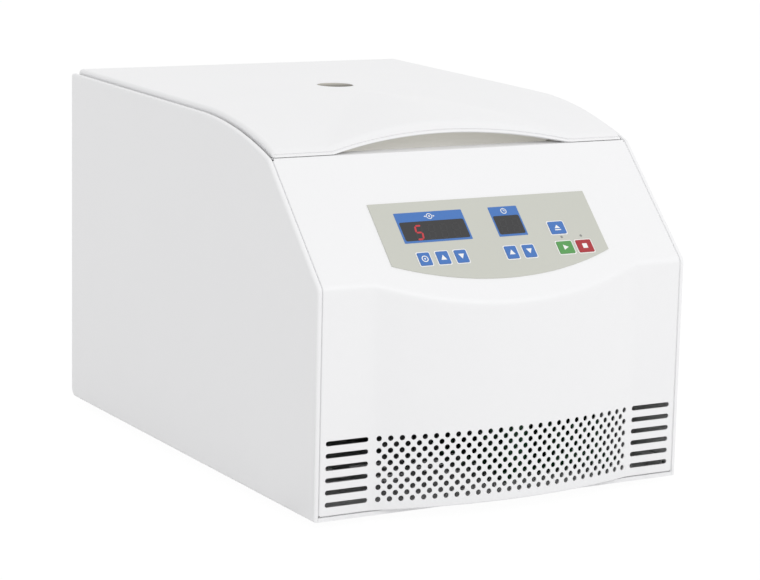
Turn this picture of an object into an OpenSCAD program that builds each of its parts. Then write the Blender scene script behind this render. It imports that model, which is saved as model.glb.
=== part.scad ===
// Bench microplate centrifuge with a hinged lid, a round chamber and a swing-out rotor.
// X runs across the front, Y from front to back, Z up. The origin is under the middle.

/* [Housing] */
// Width over the two side panels
body_w = 380; // [370:1:440]
// Depth of the side panels
body_d = 528; // [520:1:600]
// Height of the side panels at the back
rear_h = 332; // [326:1:360]
// Fall of the top edge towards the front, degrees
top_fall = 1; // [0.5:0.1:1.5]
// Distance from the front at which the top edge starts to curve down
crown_y = 235; // [215:1:255]
// Depth of the sloping control face
brow_y = 96; // [92:1:100]
// Height of the control face's upper edge
brow_h = 301; // [299:1:304]
// Height of the fold between the upright front and the control face
fold_h = 203; // [196:1:208]
// Radius of the lower back corner
rear_corner_r = 9; // [4:1:16]
// Sheet thickness of the side panels
side_skin = 1.5; // [1:0.1:2.5]
// Width of the turned-in rim of the side panels
rim_w = 4.4; // [3:0.1:6]
// Thickness of that rim
rim_t = 2; // [1.5:0.1:3]
// Gap between the side rims and the front panel
panel_gap = 0.8; // [0.5:0.1:1.5]

/* [Front panel] */
// Sheet thickness of the front and control face
front_t = 2; // [1.5:0.1:3]
// Width of the turned-back edges
edge_turn = 14; // [10:1:16]
// How far the rounded middle stands ahead of the sides
bulge_depth = 20.2; // [14:0.2:26]
// Width of the rounded middle
bulge_w = 269; // [264:1:274]
// Diameter of the air holes
hole_d = 5; // [3:0.1:6]
// Height step between air holes in one column
hole_pitch = 10.8; // [10:0.1:12]
// Step along the curve between columns of one kind
column_pitch = 10.4; // [9.6:0.1:10.6]
// Holes in a long column
hole_rows = 6; // [3:1:8]
// Long columns of air holes
hole_columns = 26; // [8:1:26]
// Height of the lowest row of holes and slots
hole_h = 14.4; // [12:0.2:20]
// Length of the side air slots
slot_l = 41.7; // [20:0.1:44]
// Height of the side air slots
slot_t = 4.4; // [3:0.1:6]
// Distance from the middle to a slot's centre
slot_x = 158.6; // [157:0.2:160]

/* [Control face] */
// Thickness of the printed overlay
overlay_t = 0.8; // [0.5:0.1:1.2]
// Width of the overlay
overlay_w = 227; // [220:1:240]
// Upper edge of the overlay, measured up the slope from the fold
overlay_top = 82.2; // [80:0.2:90]
// Lower corners of the overlay, measured up the slope
overlay_low = 17.6; // [17:0.2:19]
// How far the overlay's lower edge bows down in the middle
overlay_bow = 21.5; // [12:0.5:24]
// Side of a small key
key_w = 11.6; // [9:0.1:12.5]
// Height of every key
key_h = 12.8; // [9:0.1:13.5]
// Width of the start, stop and open keys
wide_key_w = 15.6; // [12:0.1:17]
// Travel of a key
key_travel = 0.6; // [0.3:0.1:0.9]
// How far a key stands above the overlay
key_proud = 0.7; // [0.4:0.1:1.5]
// Clearance around a key in the overlay
key_gap = 0.3; // [0.2:0.1:0.6]
// Diameter of a key's stem
stem_d = 5; // [3:0.5:7]
// Height of the display windows
window_h = 20.6; // [18:0.2:22]
// Width of the speed window
speed_window_w = 66; // [60:1:70]
// Width of the time window
time_window_w = 27.5; // [24:0.5:30]
// Diameter of the two lamps
lamp_d = 2.6; // [2:0.1:4]
// Distance from the control face down to the circuit board
board_drop = 12; // [10:0.5:16]

/* [Chamber] */
// Inner radius of the bowl
bowl_r = 163; // [162:1:165]
// Depth of the bowl under the deck
bowl_depth = 132; // [129:1:138]
// Wall of the bowl
bowl_t = 1.5; // [1:0.1:2.5]
// Rounding between the bowl's wall and floor
bowl_corner_r = 14; // [6:1:20]
// Distance of the rotor's axis from the front
bowl_y = 324; // [322:1:326]
// Height of the deck's upper face above the housing's underside
deck_h = 262; // [260:1:264]
// Thickness of the deck
deck_t = 2; // [1.5:0.1:3]
// Wall of the steel guard ring
guard_t = 4.5; // [3:0.1:5]
// Gap between bowl and guard ring
guard_gap = 5.5; // [4:0.1:6]
// Height of the rubber seal
seal_h = 2.7; // [2:0.1:3.5]

/* [Rotor] */
// Distance from the axis to a carrier's pivot
pivot_r = 74; // [73:0.5:76]
// Height of the carrier pivots
pivot_h = 205; // [203:0.5:208]
// Radius of a pivot pin
pin_r = 4; // [3:0.5:5]
// Radial clearance of a pivot pin
pin_gap = 0.05; // [0.02:0.01:0.1]
// Length of the plate pocket
pocket_l = 129.2; // [128.6:0.2:130.4]
// Width of the plate pocket
pocket_w = 86.8; // [86.2:0.2:88]
// Distance from a pivot down to the carrier's underside
carrier_drop = 46; // [42:0.5:48]
// Wall of a carrier
carrier_t = 2; // [1.5:0.1:2.2]
// Thickness of the rotor's side bars
bar_t = 9; // [6:0.5:11]
// Radius of the rotor's hub
hub_r = 24; // [18:0.5:25]
// Radius of the motor shaft
shaft_r = 10; // [6:0.5:12]
// Radial clearance of the motor shaft
shaft_gap = 0.05; // [0.02:0.01:0.1]
// Radius of the motor
motor_r = 56; // [45:1:62]
// Height of the motor
motor_h = 90; // [80:1:94]

/* [Lid] */
// How far the lid stands above the side panels
lid_rise = 4.6; // [3:0.2:6]
// Gap on each side of the lid
lid_gap = 2.6; // [1.5:0.1:4]
// Wall of the lid shell
lid_t = 3; // [2:0.1:4]
// Height of the lid's front lip at its ends
lip_h = 5.8; // [4:0.2:8]
// Half width of the finger opening
grip_half_w = 121; // [90:1:125]
// Height of the finger opening
grip_h = 12.2; // [8:0.2:13]
// How far the lip rises over the finger opening
arch_h = 14; // [9:0.2:15]
// Radius of the sight glass
sight_r = 17.5; // [12:0.5:20]
// Distance of the hinge axis from the back of the side panels
hinge_back = 18; // [17:0.5:20]
// Height of the hinge axis
hinge_h = 300; // [299:0.5:301]
// Radius of the hinge pins
hinge_pin_r = 4; // [3:0.5:5]
// Distance between the two hinges
hinge_span = 240; // [180:1:270]

/* [Base] */
// Height of the rubber feet
foot_h = 7; // [5:0.5:12]
// Diameter of the rubber feet
foot_d = 34; // [20:1:40]
// Thickness of the base tray
tray_t = 2; // [1.5:0.1:2.5]
// Side of the cooling fan
fan_w = 80; // [70:1:84]
// Distance of the fan from the middle
fan_x = 105; // [100:1:115]
// How far the fan guard stands out behind
rear_proud = 3; // [2:0.5:6]

/* [Hidden] */
$fn = 96;
overall_d = bulge_depth + body_d + rear_proud;
front_y = -overall_d / 2 + bulge_depth;
half_w = body_w / 2;
inner_half = half_w - side_skin;
panel_half = half_w - rim_w - panel_gap;
tray_half = half_w - rim_w;
lid_half = half_w - rim_w - lid_gap;
crown_h = rear_h - (body_d - crown_y) * tan(top_fall);
chord_y = crown_y - brow_y;
chord_h = crown_h - brow_h;
chord_a = atan2(chord_h, chord_y);
crown_r = norm([chord_y, chord_h]) / (2 * sin(chord_a - top_fall));
crown_cy = crown_y + crown_r * sin(top_fall);
crown_ch = crown_h - crown_r * cos(top_fall);
slope_a = atan2(brow_h - fold_h, brow_y);
bulge_r = (pow(bulge_w / 2, 2) + pow(bulge_depth, 2)) / (2 * bulge_depth);
panel_low = 4.4;
rear_sheet = 1.5;
rear_in = body_d - rear_sheet;
deck_end = body_d - max(rim_t, rear_sheet);
hinge_y = body_d - hinge_back;
rear_top = hinge_h - 14;
bowl_floor = deck_h - bowl_depth;
flange_r = bowl_r + 11;
gland_r = shaft_r + 14;
seal_top = deck_h + bowl_t + seal_h;
liner_low = seal_top + 0.3;
liner_t = 2.5;
liner_y = 152;
lid_rear = hinge_y + 16;
skirt_h = hinge_h - 12;
lip_top = brow_h + lip_h;
lip_low = brow_h + 0.6;
arch_half = grip_half_w + 6;
lip_depth = 12;
hump_front = (lip_top + arch_h - fold_h) / tan(slope_a) - 12;
hump_back = crown_y - 30;
hump_a = 5.5;
sight_y = bowl_y - 2;
trough_y = brow_y + edge_turn / sin(slope_a);
trough_end = liner_y - 4;
striker_x = 140;
striker_y = 161;
striker_h = 236;
latch_y = 140;
latch_h = 230;
latch_free = 40;
wire_r = 2.5;
fan_t = 25;
fan_h = 60;
fan_y = rear_in - fan_t;
foot_x = half_w - 40;
foot_stud_r = 2.1;
foot_front = 50;
foot_back = body_d - 48;
switch_x = -foot_x;
inlet_x = switch_x + 45;
inlet_half = [13.6, 10.6];
inlet_screw_x = 20;
inlet_flange_t = 2;
switch_half = [10.4, 14.4];
cut_gap = 0.3;
socket_h = 52;
board_t = 1.6;
speed_x = -55.6;
time_x = 21.5;
window_s = 41.2;
low_row = 21.5;
high_row = 43.9;
lamp_s = 33.8;
start_x = 69.8;
stop_x = 90.4;
KEYS = [["mode_key", -76.8, low_row, key_w, "royalblue"],
        ["speed_up_key", -58.2, low_row, key_w, "royalblue"],
        ["speed_down_key", -39.6, low_row, key_w, "royalblue"],
        ["time_up_key", 12.3, low_row, key_w, "royalblue"],
        ["time_down_key", 30.8, low_row, key_w, "royalblue"],
        ["open_key", start_x, high_row, wide_key_w, "royalblue"],
        ["start_key", start_x, low_row + 0.8, wide_key_w, "mediumseagreen"],
        ["stop_key", stop_x, low_row + 0.8, wide_key_w, "firebrick"]];
FEET = [["foot_front_left", -1, 0], ["foot_front_right", 1, 0],
        ["foot_rear_left", -1, 1], ["foot_rear_right", 1, 1]];
crown_steps = 14;
side_outline = concat(
    [[0, 0], [0, fold_h], [brow_y, brow_h]],
    [for (i = [1:crown_steps]) let (y = brow_y + chord_y * i / crown_steps) [y, crown(y)]],
    [[body_d, rear_h]],
    arc([body_d - rear_corner_r, rear_corner_r], rear_corner_r, 0, -90, 6));
isolator_h = 18;
isolator_off = 76;
isolator_stud_r = 4;
base_plate_t = 6;
motor_low = tray_t + isolator_h + base_plate_t;
motor_top = motor_low + motor_h;
shoulder_h = motor_low + 0.94 * motor_h;
yoke_top = pivot_h + 8;
yoke_low = pivot_h - 50;
nut_h = 20;
nut_r = 18;
thread_r = shaft_r - 3;
thread_l = 14;
ear_t = 2.5;
ear_out = pocket_l / 2 + ear_t + 1.7;
bar_in = ear_out + 1;
bar_out = bar_in + bar_t;
sight_top = crown(sight_y) + lid_rise - lid_t;
tube_r = sight_r + 2.4;
hinge_half = 10;
knuckle_r = hinge_pin_r + 5;
hinge_ear = 4;
ear_in = hinge_half + 0.5;
striker_half = 9;
latch_half = striker_x + 22;
latch_shaft_r = 4;
rocker_depth = 8;
rocker_half = 8;
axle_r = 2;

// Everything is drawn with the front plane at y = 0 and the housing's underside at z = 0.
module machine() {
    translate([0, front_y, foot_h]) children();
}

// A flat outline given as [y, z] points, drawn out along X from x0 to x1.
module across(x0, x1, points) {
    translate([x0, 0, 0]) rotate([90, 0, 90]) linear_extrude(x1 - x0) polygon(points);
}

// A block between two corners.
module block(low, high) {
    translate(low) cube(high - low);
}

// The same piece on both sides.
module both_sides() {
    children();
    mirror([1, 0, 0]) children();
}

// A frame on the control face: x across, y up the slope, z out of the face.
module on_slope() {
    translate([0, 0, fold_h]) rotate([slope_a, 0, 0]) children();
}

// Height of the side panels' top edge at a distance y from the front.
function crown(y) = y >= crown_y ? crown_h + (y - crown_y) * tan(top_fall)
    : crown_ch + sqrt(crown_r * crown_r - pow(y - crown_cy, 2));

function arc(c, r, a0, a1, n) = [for (i = [0:n]) let (a = a0 + (a1 - a0) * i / n)
    c + r * [cos(a), sin(a)]];

// A convex outline that runs clockwise, drawn in by d.
function unit(v) = v / norm(v);
function side_normal(a, b) = let (u = unit(b - a)) [u[1], -u[0]];
function inset(points, d) = let (n = len(points)) [for (i = [0:n - 1])
    let (p = points[i], n0 = side_normal(points[(i + n - 1) % n], p),
         n1 = side_normal(p, points[(i + 1) % n]))
    p + d * (n0 + n1) / (1 + n0 * n1)];

// A slot with round ends, cut through the front along Y.
module slot_y(x, z, l, t, y0, y1) {
    translate([x, y1, z]) rotate([90, 0, 0]) linear_extrude(y1 - y0) {
        square([l - t, t], center = true);
        for (s = [-1, 1]) translate([s * (l - t) / 2, 0]) circle(d = t, $fn = 32);
    }
}

module base_tray() {
    vent = [38, 5];
    vent_y = 90;
    vent_step = [55, 14];
    side_h = 15;
    color("gainsboro") machine() difference() {
        union() {
            block([-tray_half, 0, 0], [tray_half, rear_in, tray_t]);
            block([-tray_half, 0, 0], [tray_half, 3, panel_low - 0.8]);
            block([-tray_half, 3, 0], [tray_half, edge_turn, panel_low]);
            both_sides() block([tray_half - side_skin, edge_turn + 1, 0],
                               [tray_half, rear_in - 1, side_h]);
        }
        for (i = [-2:2], j = [0:4])
            translate([i * vent_step[0], vent_y + j * vent_step[1], -1])
                linear_extrude(tray_t + 2) square(vent, center = true);
        for (sx = [-1, 1], y = [foot_front, foot_back])
            translate([sx * foot_x, y, -1]) cylinder(r = foot_stud_r + 0.1, h = tray_t + 2);
    }
}

module foot(sx, back) {
    y = back ? foot_back : foot_front;
    taper = 5;
    color("dimgray") machine() translate([sx * foot_x, y, 0]) {
        translate([0, 0, -foot_h]) cylinder(d1 = foot_d - taper, d2 = foot_d, h = foot_h);
        cylinder(r = foot_stud_r, h = tray_t + 1.5);
    }
}

module side_panel() {
    color("whitesmoke") machine() difference() {
        across(-half_w, -half_w + rim_w, side_outline);
        across(-half_w + side_skin, -half_w + rim_w + 1, inset(side_outline, rim_t));
    }
}

// The body of air behind the front skin, set back by d from the outer surface.
module front_mass(d) {
    reach = 170;
    bow_middle = bulge_r - bulge_depth;
    intersection() {
        union() {
            block([-panel_half, d, -1], [panel_half, reach, rear_h]);
            intersection() {
                translate([0, bow_middle, -1]) cylinder(r = bulge_r - d, h = rear_h, $fn = 360);
                block([-bulge_w / 2, -bulge_depth - 1, -1], [bulge_w / 2, bulge_depth, rear_h]);
            }
        }
        behind_slope(d);
    }
}

module air_holes() {
    reach = hole_columns - 1;
    for (k = [-reach:reach]) {
        long = (k + reach) % 2 == 0;
        a = k * column_pitch / 2 / bulge_r * 180 / PI;
        for (i = [0:hole_rows - (long ? 1 : 2)])
            translate([0, bulge_r - bulge_depth, hole_h + (i + (long ? 0 : 0.5)) * hole_pitch])
                rotate([90, 0, a]) translate([0, 0, bulge_r - 2 * front_t])
                    cylinder(d = hole_d, h = 3 * front_t, $fn = 24);
    }
    for (i = [0:hole_rows - 1], s = [-1, 1])
        slot_y(s * slot_x, hole_h + i * hole_pitch, slot_l, slot_t, -1, front_t + 1);
}

module front_panel() {
    color("white") machine() difference() {
        intersection() {
            front_mass(0);
            block([-panel_half, -bulge_depth - 1, panel_low], [panel_half, body_d, brow_h]);
        }
        intersection() {
            front_mass(front_t);
            block([-panel_half + front_t, -bulge_depth, panel_low + front_t],
                  [panel_half - front_t, body_d, brow_h - front_t]);
        }
        front_mass(edge_turn);
        air_holes();
        on_slope() translate([0, 0, -front_t - 1]) {
            window_hole(speed_x, speed_window_w, front_t + 2);
            window_hole(time_x, time_window_w, front_t + 2);
            for (k = KEYS) translate([k[1], k[2], 0])
                cylinder(d = stem_d + 2 * key_gap, h = front_t + 2);
            for (x = [start_x, stop_x]) translate([x, lamp_s, 0])
                cylinder(d = lamp_d + 0.2, h = front_t + 2);
        }
    }
}

module window_hole(x, w, h) {
    translate([x - w / 2, window_s, 0]) cube([w, window_h, h]);
}

module rear_panel() {
    slots = 8;
    slot_low = 150;
    slot_step = 12;
    slot = [150, 5];
    color("white") machine() difference() {
        block([-tray_half, rear_in, 0], [tray_half, body_d, rear_top]);
        translate([fan_x, body_d + 1, fan_h]) rotate([90, 0, 0])
            cylinder(d = fan_w - 6, h = rear_sheet + 2);
        rear_cut(inlet_x, inlet_half);
        rear_cut(switch_x, switch_half);
        for (i = [0:slots - 1])
            slot_y(0, slot_low + i * slot_step, slot[0], slot[1], rear_in - 1, body_d + 1);
    }
}

// A cut-out in the rear panel round a fitting with the given half width and half height.
module rear_cut(x, half) {
    block([x - half[0] - cut_gap, rear_in - 1, socket_h - half[1] - cut_gap],
          [x + half[0] + cut_gap, body_d + 1, socket_h + half[1] + cut_gap]);
}

module top_deck() {
    window = [15, 14, 8];
    color("lightgray") machine() difference() {
        block([-inner_half, trough_y, deck_h - deck_t], [inner_half, deck_end, deck_h]);
        translate([0, bowl_y, deck_h - deck_t - 1]) cylinder(r = bowl_r + bowl_t, h = deck_t + 2);
        both_sides()
            block([striker_x - window[0], striker_y - window[1], deck_h - deck_t - 1],
                  [striker_x + window[0], striker_y + window[2], deck_h + 1]);
    }
}

module deck_rails() {
    rail = 12;
    color("silver") machine() both_sides() {
        block([inner_half - rail, trough_y + 20, deck_h - deck_t - 2],
              [inner_half, rear_in - 10, deck_h - deck_t]);
        block([inner_half - 2, trough_y + 20, deck_h - deck_t - rail],
              [inner_half, rear_in - 10, deck_h - deck_t - 2]);
    }
}

// The scoop behind the front panel's upper edge, where fingers reach under the lid's lip.
module grip_trough() {
    wall = 2;
    span = trough_end - trough_y;
    dip = 16;
    bow_r = (span * span / 4 + dip * dip) / (2 * dip);
    top = brow_h - 1;
    under = top - dip - wall - 1;
    inner = concat([[trough_y + wall, top + 5]], [for (i = [0:12])
        let (a = -asin(span / 2 / bow_r) * (1 - i / 6) * 0.97)
        [trough_y + span / 2 + bow_r * sin(a), top - dip + bow_r * (1 - cos(a))]],
        [[trough_end - wall, top + 5]]);
    ledge_half = panel_half - front_t - 0.5;
    ledge_top = brow_h - front_t;
    color("gainsboro") machine() difference() {
        union() {
            block([-inner_half, trough_y, deck_h], [inner_half, trough_end, top]);
            block([-ledge_half, trough_y - 8, ledge_top - 5], [ledge_half, trough_y + 1, ledge_top]);
        }
        across(-inner_half + wall, inner_half - wall, inner);
        across(-inner_half + wall, inner_half - wall,
               [[trough_y + wall, deck_h - 1], [trough_y + wall, under],
                [trough_end - wall, under], [trough_end - wall, deck_h - 1]]);
    }
}

// The overlay's outline with its bowed lower edge.
module overlay_shape() {
    half = overlay_w / 2;
    bow_r = (half * half + overlay_bow * overlay_bow) / (2 * overlay_bow);
    translate([-half, overlay_low]) square([overlay_w, overlay_top - overlay_low]);
    intersection() {
        translate([0, overlay_low - overlay_bow + bow_r]) circle(r = bow_r, $fn = 240);
        translate([-half, overlay_low - overlay_bow]) square([overlay_w, overlay_bow + 0.01]);
    }
}

module control_overlay() {
    color("lightgray") machine() on_slope() linear_extrude(overlay_t) difference() {
        overlay_shape();
        translate([speed_x - speed_window_w / 2, window_s]) square([speed_window_w, window_h]);
        translate([time_x - time_window_w / 2, window_s]) square([time_window_w, window_h]);
        for (k = KEYS) translate([k[1], k[2]])
            square([k[3] + 2 * key_gap, key_h + 2 * key_gap], center = true);
        for (x = [start_x, stop_x]) translate([x, lamp_s]) circle(d = lamp_d + 0.2);
    }
}

module display_windows() {
    color("black") machine() on_slope() {
        window_hole(speed_x, speed_window_w, overlay_t - 0.1);
        window_hole(time_x, time_window_w, overlay_t - 0.1);
    }
}

module display_block(x, w) {
    color("dimgray") machine() on_slope()
        translate([x - w / 2 + 0.2, window_s + 0.2, -board_drop])
            cube([w - 0.4, window_h - 0.4, board_drop]);
}

module control_board() {
    color("darkgreen") machine() on_slope() translate([-overlay_w / 2 + 8, 14, -board_drop - board_t])
        cube([overlay_w - 16, overlay_top - 16, board_t]);
}

module key_switches() {
    switch_w = 6;
    top = -front_t - 1.3;
    color("black") machine() on_slope() for (k = KEYS)
        translate([k[1] - switch_w / 2, k[2] - switch_w / 2, -board_drop])
            cube([switch_w, switch_w, board_drop + top]);
}

module board_standoffs() {
    half = overlay_w / 2 - 14;
    post_r = 3;
    color("gold") machine() on_slope() for (x = [-half, half], s = [overlay_low, overlay_top - 8])
        translate([x, s, -board_drop]) cylinder(r = post_r, h = board_drop - front_t);
}

module lamp(x) {
    color("silver") machine() on_slope() translate([x, lamp_s, -board_drop]) {
        cylinder(d = lamp_d, h = board_drop + overlay_t);
    }
}

// A key pad in its overlay window, with a stem through the panel down to its switch.
module key(k) {
    floor_n = key_travel + 0.1;
    pad_t = overlay_t + key_proud - floor_n;
    stem_low = -front_t - 0.5;
    color(k[4]) machine() on_slope() translate([k[1], k[2], 0]) {
        translate([-k[3] / 2, -key_h / 2, floor_n]) cube([k[3], key_h, pad_t]);
        translate([0, 0, stem_low]) cylinder(d = stem_d, h = floor_n + 0.2 - stem_low);
    }
}

module chamber_bowl() {
    c = bowl_corner_r;
    corner = [bowl_r + bowl_t - c, bowl_floor + c];
    color("silver") machine() translate([0, bowl_y, 0]) rotate_extrude($fn = 180) polygon(concat(
        [[gland_r, bowl_floor], [corner[0], bowl_floor]],
        arc(corner, c, -90, 0, 8),
        [[bowl_r + bowl_t, deck_h], [flange_r, deck_h], [flange_r, deck_h + bowl_t],
         [bowl_r, deck_h + bowl_t]],
        arc(corner, c - bowl_t, 0, -90, 8),
        [[gland_r, bowl_floor + bowl_t]]));
}

module chamber_seal() {
    seal_w = 8;
    edge_h = 1.6;
    crest = 2.4;
    color("dimgray") machine() translate([0, bowl_y, deck_h + bowl_t]) rotate_extrude($fn = 180)
        translate([bowl_r + 2, 0]) polygon([[0, 0], [seal_w, 0], [seal_w, edge_h],
            [seal_w - crest, seal_h], [crest, seal_h], [0, edge_h]]);
}

module guard_ring() {
    r = bowl_r + bowl_t + guard_gap;
    low = bowl_floor - 8;
    color("slategray") machine() translate([0, bowl_y, low]) difference() {
        cylinder(r = r + guard_t, h = deck_h - deck_t - low, $fn = 180);
        translate([0, 0, -1]) cylinder(r = r, h = deck_h, $fn = 180);
    }
}

module at_isolators() {
    for (sx = [-1, 1], sy = [-1, 1])
        translate([sx * isolator_off, bowl_y + sy * isolator_off, 0]) children();
}

module motor_base() {
    half = isolator_off + 18;
    low = tray_t + isolator_h;
    color("gray") machine() difference() {
        block([-half, bowl_y - half, low], [half, bowl_y + half, motor_low]);
        at_isolators() translate([0, 0, low - 1])
            cylinder(r = isolator_stud_r + 0.2, h = base_plate_t + 2);
    }
}

module motor_isolators() {
    r = 14;
    waist = 11;
    disc = 5;
    stud_top = isolator_h + base_plate_t + 3;
    color("dimgray") machine() at_isolators() translate([0, 0, tray_t]) rotate_extrude()
        polygon([[0, 0], [r, 0], [r, disc], [waist, isolator_h / 2], [r, isolator_h - disc],
                 [r, isolator_h], [isolator_stud_r, isolator_h], [isolator_stud_r, stud_top],
                 [0, stud_top]]);
}

module motor_housing() {
    ribs = 9;
    rib_step = 0.075 * motor_h;
    color("slategray") machine() translate([0, bowl_y, motor_low]) difference() {
        union() {
            cylinder(r = motor_r, h = motor_h * 0.16);
            for (i = [0:ribs - 1]) translate([0, 0, motor_h * 0.2 + i * rib_step])
                cylinder(r = motor_r, h = motor_h * 0.04);
            cylinder(r = motor_r - 4, h = motor_h * 0.85);
            cylinder(r = motor_r - 8, h = shoulder_h - motor_low);
            cylinder(r = shaft_r + 10, h = motor_h);
        }
        translate([0, 0, motor_h - 30]) cylinder(r = shaft_r + shaft_gap, h = 31);
    }
}

// A rubber sleeve from the motor's neck up through the bowl's floor.
module shaft_gaiter() {
    neck_r = shaft_r + 10;
    wall = 2;
    floor_top = bowl_floor + bowl_t;
    color("dimgray") machine() translate([0, bowl_y, 0]) rotate_extrude()
        polygon([[neck_r, shoulder_h], [neck_r + wall, shoulder_h], [neck_r + wall, motor_top],
                 [gland_r, bowl_floor], [gland_r, floor_top], [neck_r + 1, floor_top + wall],
                 [neck_r + 1, motor_top + wall], [neck_r, motor_top]]);
}

module motor_shaft() {
    low = motor_top - 28;
    color("silver") machine() translate([0, bowl_y, 0]) {
        translate([0, 0, low]) cylinder(r = shaft_r, h = yoke_top - low);
        translate([0, 0, yoke_top - 1]) cylinder(r = thread_r, h = thread_l + 1);
    }
}

// A side bar of the rotor, seen from the side: deep in the middle, round at the pivots.
module bar_shape() {
    tip = pin_r + 7;
    polygon([[-pivot_r, pivot_h - tip], [-hub_r, yoke_low + 14], [hub_r, yoke_low + 14],
             [pivot_r, pivot_h - tip], [pivot_r, pivot_h + tip], [-pivot_r, pivot_h + tip]]);
    for (s = [-1, 1]) translate([s * pivot_r, pivot_h]) circle(r = tip);
}

module rotor_yoke() {
    beam = hub_r - 4;
    beam_low = yoke_low + 16;
    lightening_r = 7;
    cut_l = 2 * (bar_out + 1);
    color("lightsteelblue") machine() translate([0, bowl_y, 0]) difference() {
        union() {
            translate([0, 0, yoke_low]) cylinder(r = hub_r, h = yoke_top - yoke_low);
            block([-beam, -bar_in - 1, beam_low], [beam, bar_in + 1, pivot_h - 4]);
            for (s = [0, 1]) mirror([0, s, 0]) translate([0, bar_out, 0]) rotate([90, 0, 0])
                linear_extrude(bar_t) bar_shape();
        }
        translate([0, 0, yoke_low - 1]) cylinder(r = shaft_r, h = yoke_top - yoke_low + 2);
        for (s = [-1, 1]) translate([0, -cut_l / 2, 0]) {
            translate([s * pivot_r, 0, pivot_h]) rotate([-90, 0, 0]) cylinder(r = pin_r, h = cut_l);
            translate([s * pivot_r * 0.55, 0, pivot_h - 6]) rotate([-90, 0, 0])
                cylinder(r = lightening_r, h = cut_l);
        }
    }
}

module rotor_nut() {
    flutes = 10;
    flute_r = 3.5;
    washer = [14, 3];
    color("silver") machine() translate([0, bowl_y, yoke_top]) difference() {
        union() {
            cylinder(r = washer[0], h = washer[1]);
            cylinder(r = nut_r, h = nut_h);
        }
        translate([0, 0, -1]) cylinder(r = thread_r, h = thread_l + 2);
        for (i = [0:flutes - 1]) rotate([0, 0, i * 360 / flutes])
            translate([nut_r + 2, 0, washer[1]]) cylinder(r = flute_r, h = nut_h, $fn = 32);
    }
}

module carrier_pins() {
    start = pocket_l / 2 + 0.8;
    head_t = 2.4;
    color("gray") machine() for (sx = [-1, 1], sy = [0, 1])
        translate([sx * pivot_r, bowl_y, pivot_h]) mirror([0, sy, 0]) rotate([-90, 0, 0]) {
            translate([0, 0, start]) cylinder(r = pin_r, h = bar_out + 0.8 - start);
            translate([0, 0, bar_out]) cylinder(r = pin_r + 2, h = head_t);
        }
}

// A carrier hangs from two ears and holds a stack of plates between low walls.
module carrier() {
    half_x = pocket_w / 2 + carrier_t;
    half_y = pocket_l / 2 + ear_t;
    floor_t = 2.5;
    rim = 20;
    rim_gap = 38;
    window = [28, 18];
    collar = 1.8;
    color("lightgray") machine() translate([pivot_r, bowl_y, pivot_h]) difference() {
        union() {
            block([-half_x, -half_y, -carrier_drop], [half_x, half_y, floor_t - carrier_drop]);
            for (s = [0, 1]) mirror([s, 0, 0])
                block([pocket_w / 2, -half_y, -carrier_drop], [half_x, half_y, rim - carrier_drop]);
            for (s = [0, 1]) mirror([0, s, 0]) {
                translate([0, half_y, 0]) rotate([90, 0, 0])
                    linear_extrude(ear_t) ear_shape(half_x, rim);
                translate([0, ear_out, 0]) rotate([90, 0, 0]) cylinder(r = pin_r + 4, h = collar);
            }
        }
        for (s = [0, 1]) mirror([0, s, 0]) translate([0, pocket_l / 2 - 1, 0]) rotate([-90, 0, 0])
            cylinder(r = pin_r + pin_gap, h = ear_out + 1);
        block([-half_x - 1, -rim_gap, 8 - carrier_drop],
              [half_x + 1, rim_gap, rim + 1 - carrier_drop]);
        for (s = [-1, 1]) translate([0, s * 32, 0])
            block([-window[0], -window[1], -carrier_drop - 1],
                  [window[0], window[1], floor_t + 1 - carrier_drop]);
    }
}

module ear_shape(half_x, rim) {
    tip = pin_r + 6;
    polygon([[-half_x, -carrier_drop], [half_x, -carrier_drop], [half_x, -carrier_drop + rim],
             [tip, 0], [-tip, 0], [-half_x, -carrier_drop + rim]]);
    circle(r = tip);
}

// The lid's outline from the side, lowered by d: the crown above the line low.
function lid_outline(d, y0, y1, low) = concat([[y0, low]],
    [for (i = [0:crown_steps]) let (y = y0 + (crown_y - y0) * i / crown_steps)
        [y, crown(y) + lid_rise - d]],
    [[y1, crown(y1) + lid_rise - d], [y1, low]]);

// The arched form over the finger opening runs back and up until the crown takes it in.
module hump(d) {
    l = hump_back - hump_front;
    r = (arch_half * arch_half + arch_h * arch_h) / (2 * arch_h);
    translate([0, hump_back, lip_top + arch_h - d + (l - 12) * tan(hump_a)])
        rotate([90 + hump_a, 0, 0]) linear_extrude(l / cos(hump_a)) intersection() {
            translate([0, -r]) circle(r = r, $fn = 360);
            translate([-arch_half, -arch_h - 6]) square([2 * arch_half, arch_h + 8]);
        }
}

module arch_cut(half, low, rise, y0, y1) {
    r = (half * half + rise * rise) / (2 * rise);
    translate([0, y1, 0]) rotate([90, 0, 0]) linear_extrude(y1 - y0) {
        translate([-half_w, skirt_h - 60]) square([body_w, low - skirt_h + 60]);
        intersection() {
            translate([0, low + rise - r]) circle(r = r, $fn = 360);
            translate([-half, low - 1]) square([2 * half, rise + 2]);
        }
    }
}

// The half-space behind the control face, set back by d.
module behind_slope(d) {
    on_slope() translate([0, 0, -d]) mirror([0, 0, 1])
        translate([-half_w, -body_d, 0]) cube([body_w, 3 * body_d, 2 * body_d]);
}

module lid_shell() {
    color("white") machine() difference() {
        intersection() {
            union() {
                across(-lid_half, lid_half, lid_outline(0, brow_y - 4, lid_rear, skirt_h));
                hump(0);
            }
            behind_slope(0);
        }
        intersection() {
            union() {
                across(-lid_half + lid_t, lid_half - lid_t,
                       lid_outline(lid_t, brow_y + 1, lid_rear - lid_t, skirt_h - 10));
                hump(lid_t);
            }
            behind_slope(lip_depth);
        }
        arch_cut(grip_half_w, lip_low, grip_h, brow_y - 40, trough_end + 4);
        translate([0, sight_y, skirt_h]) cylinder(r = sight_r + 0.4, h = 80);
        hinge_slots();
    }
}

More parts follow.
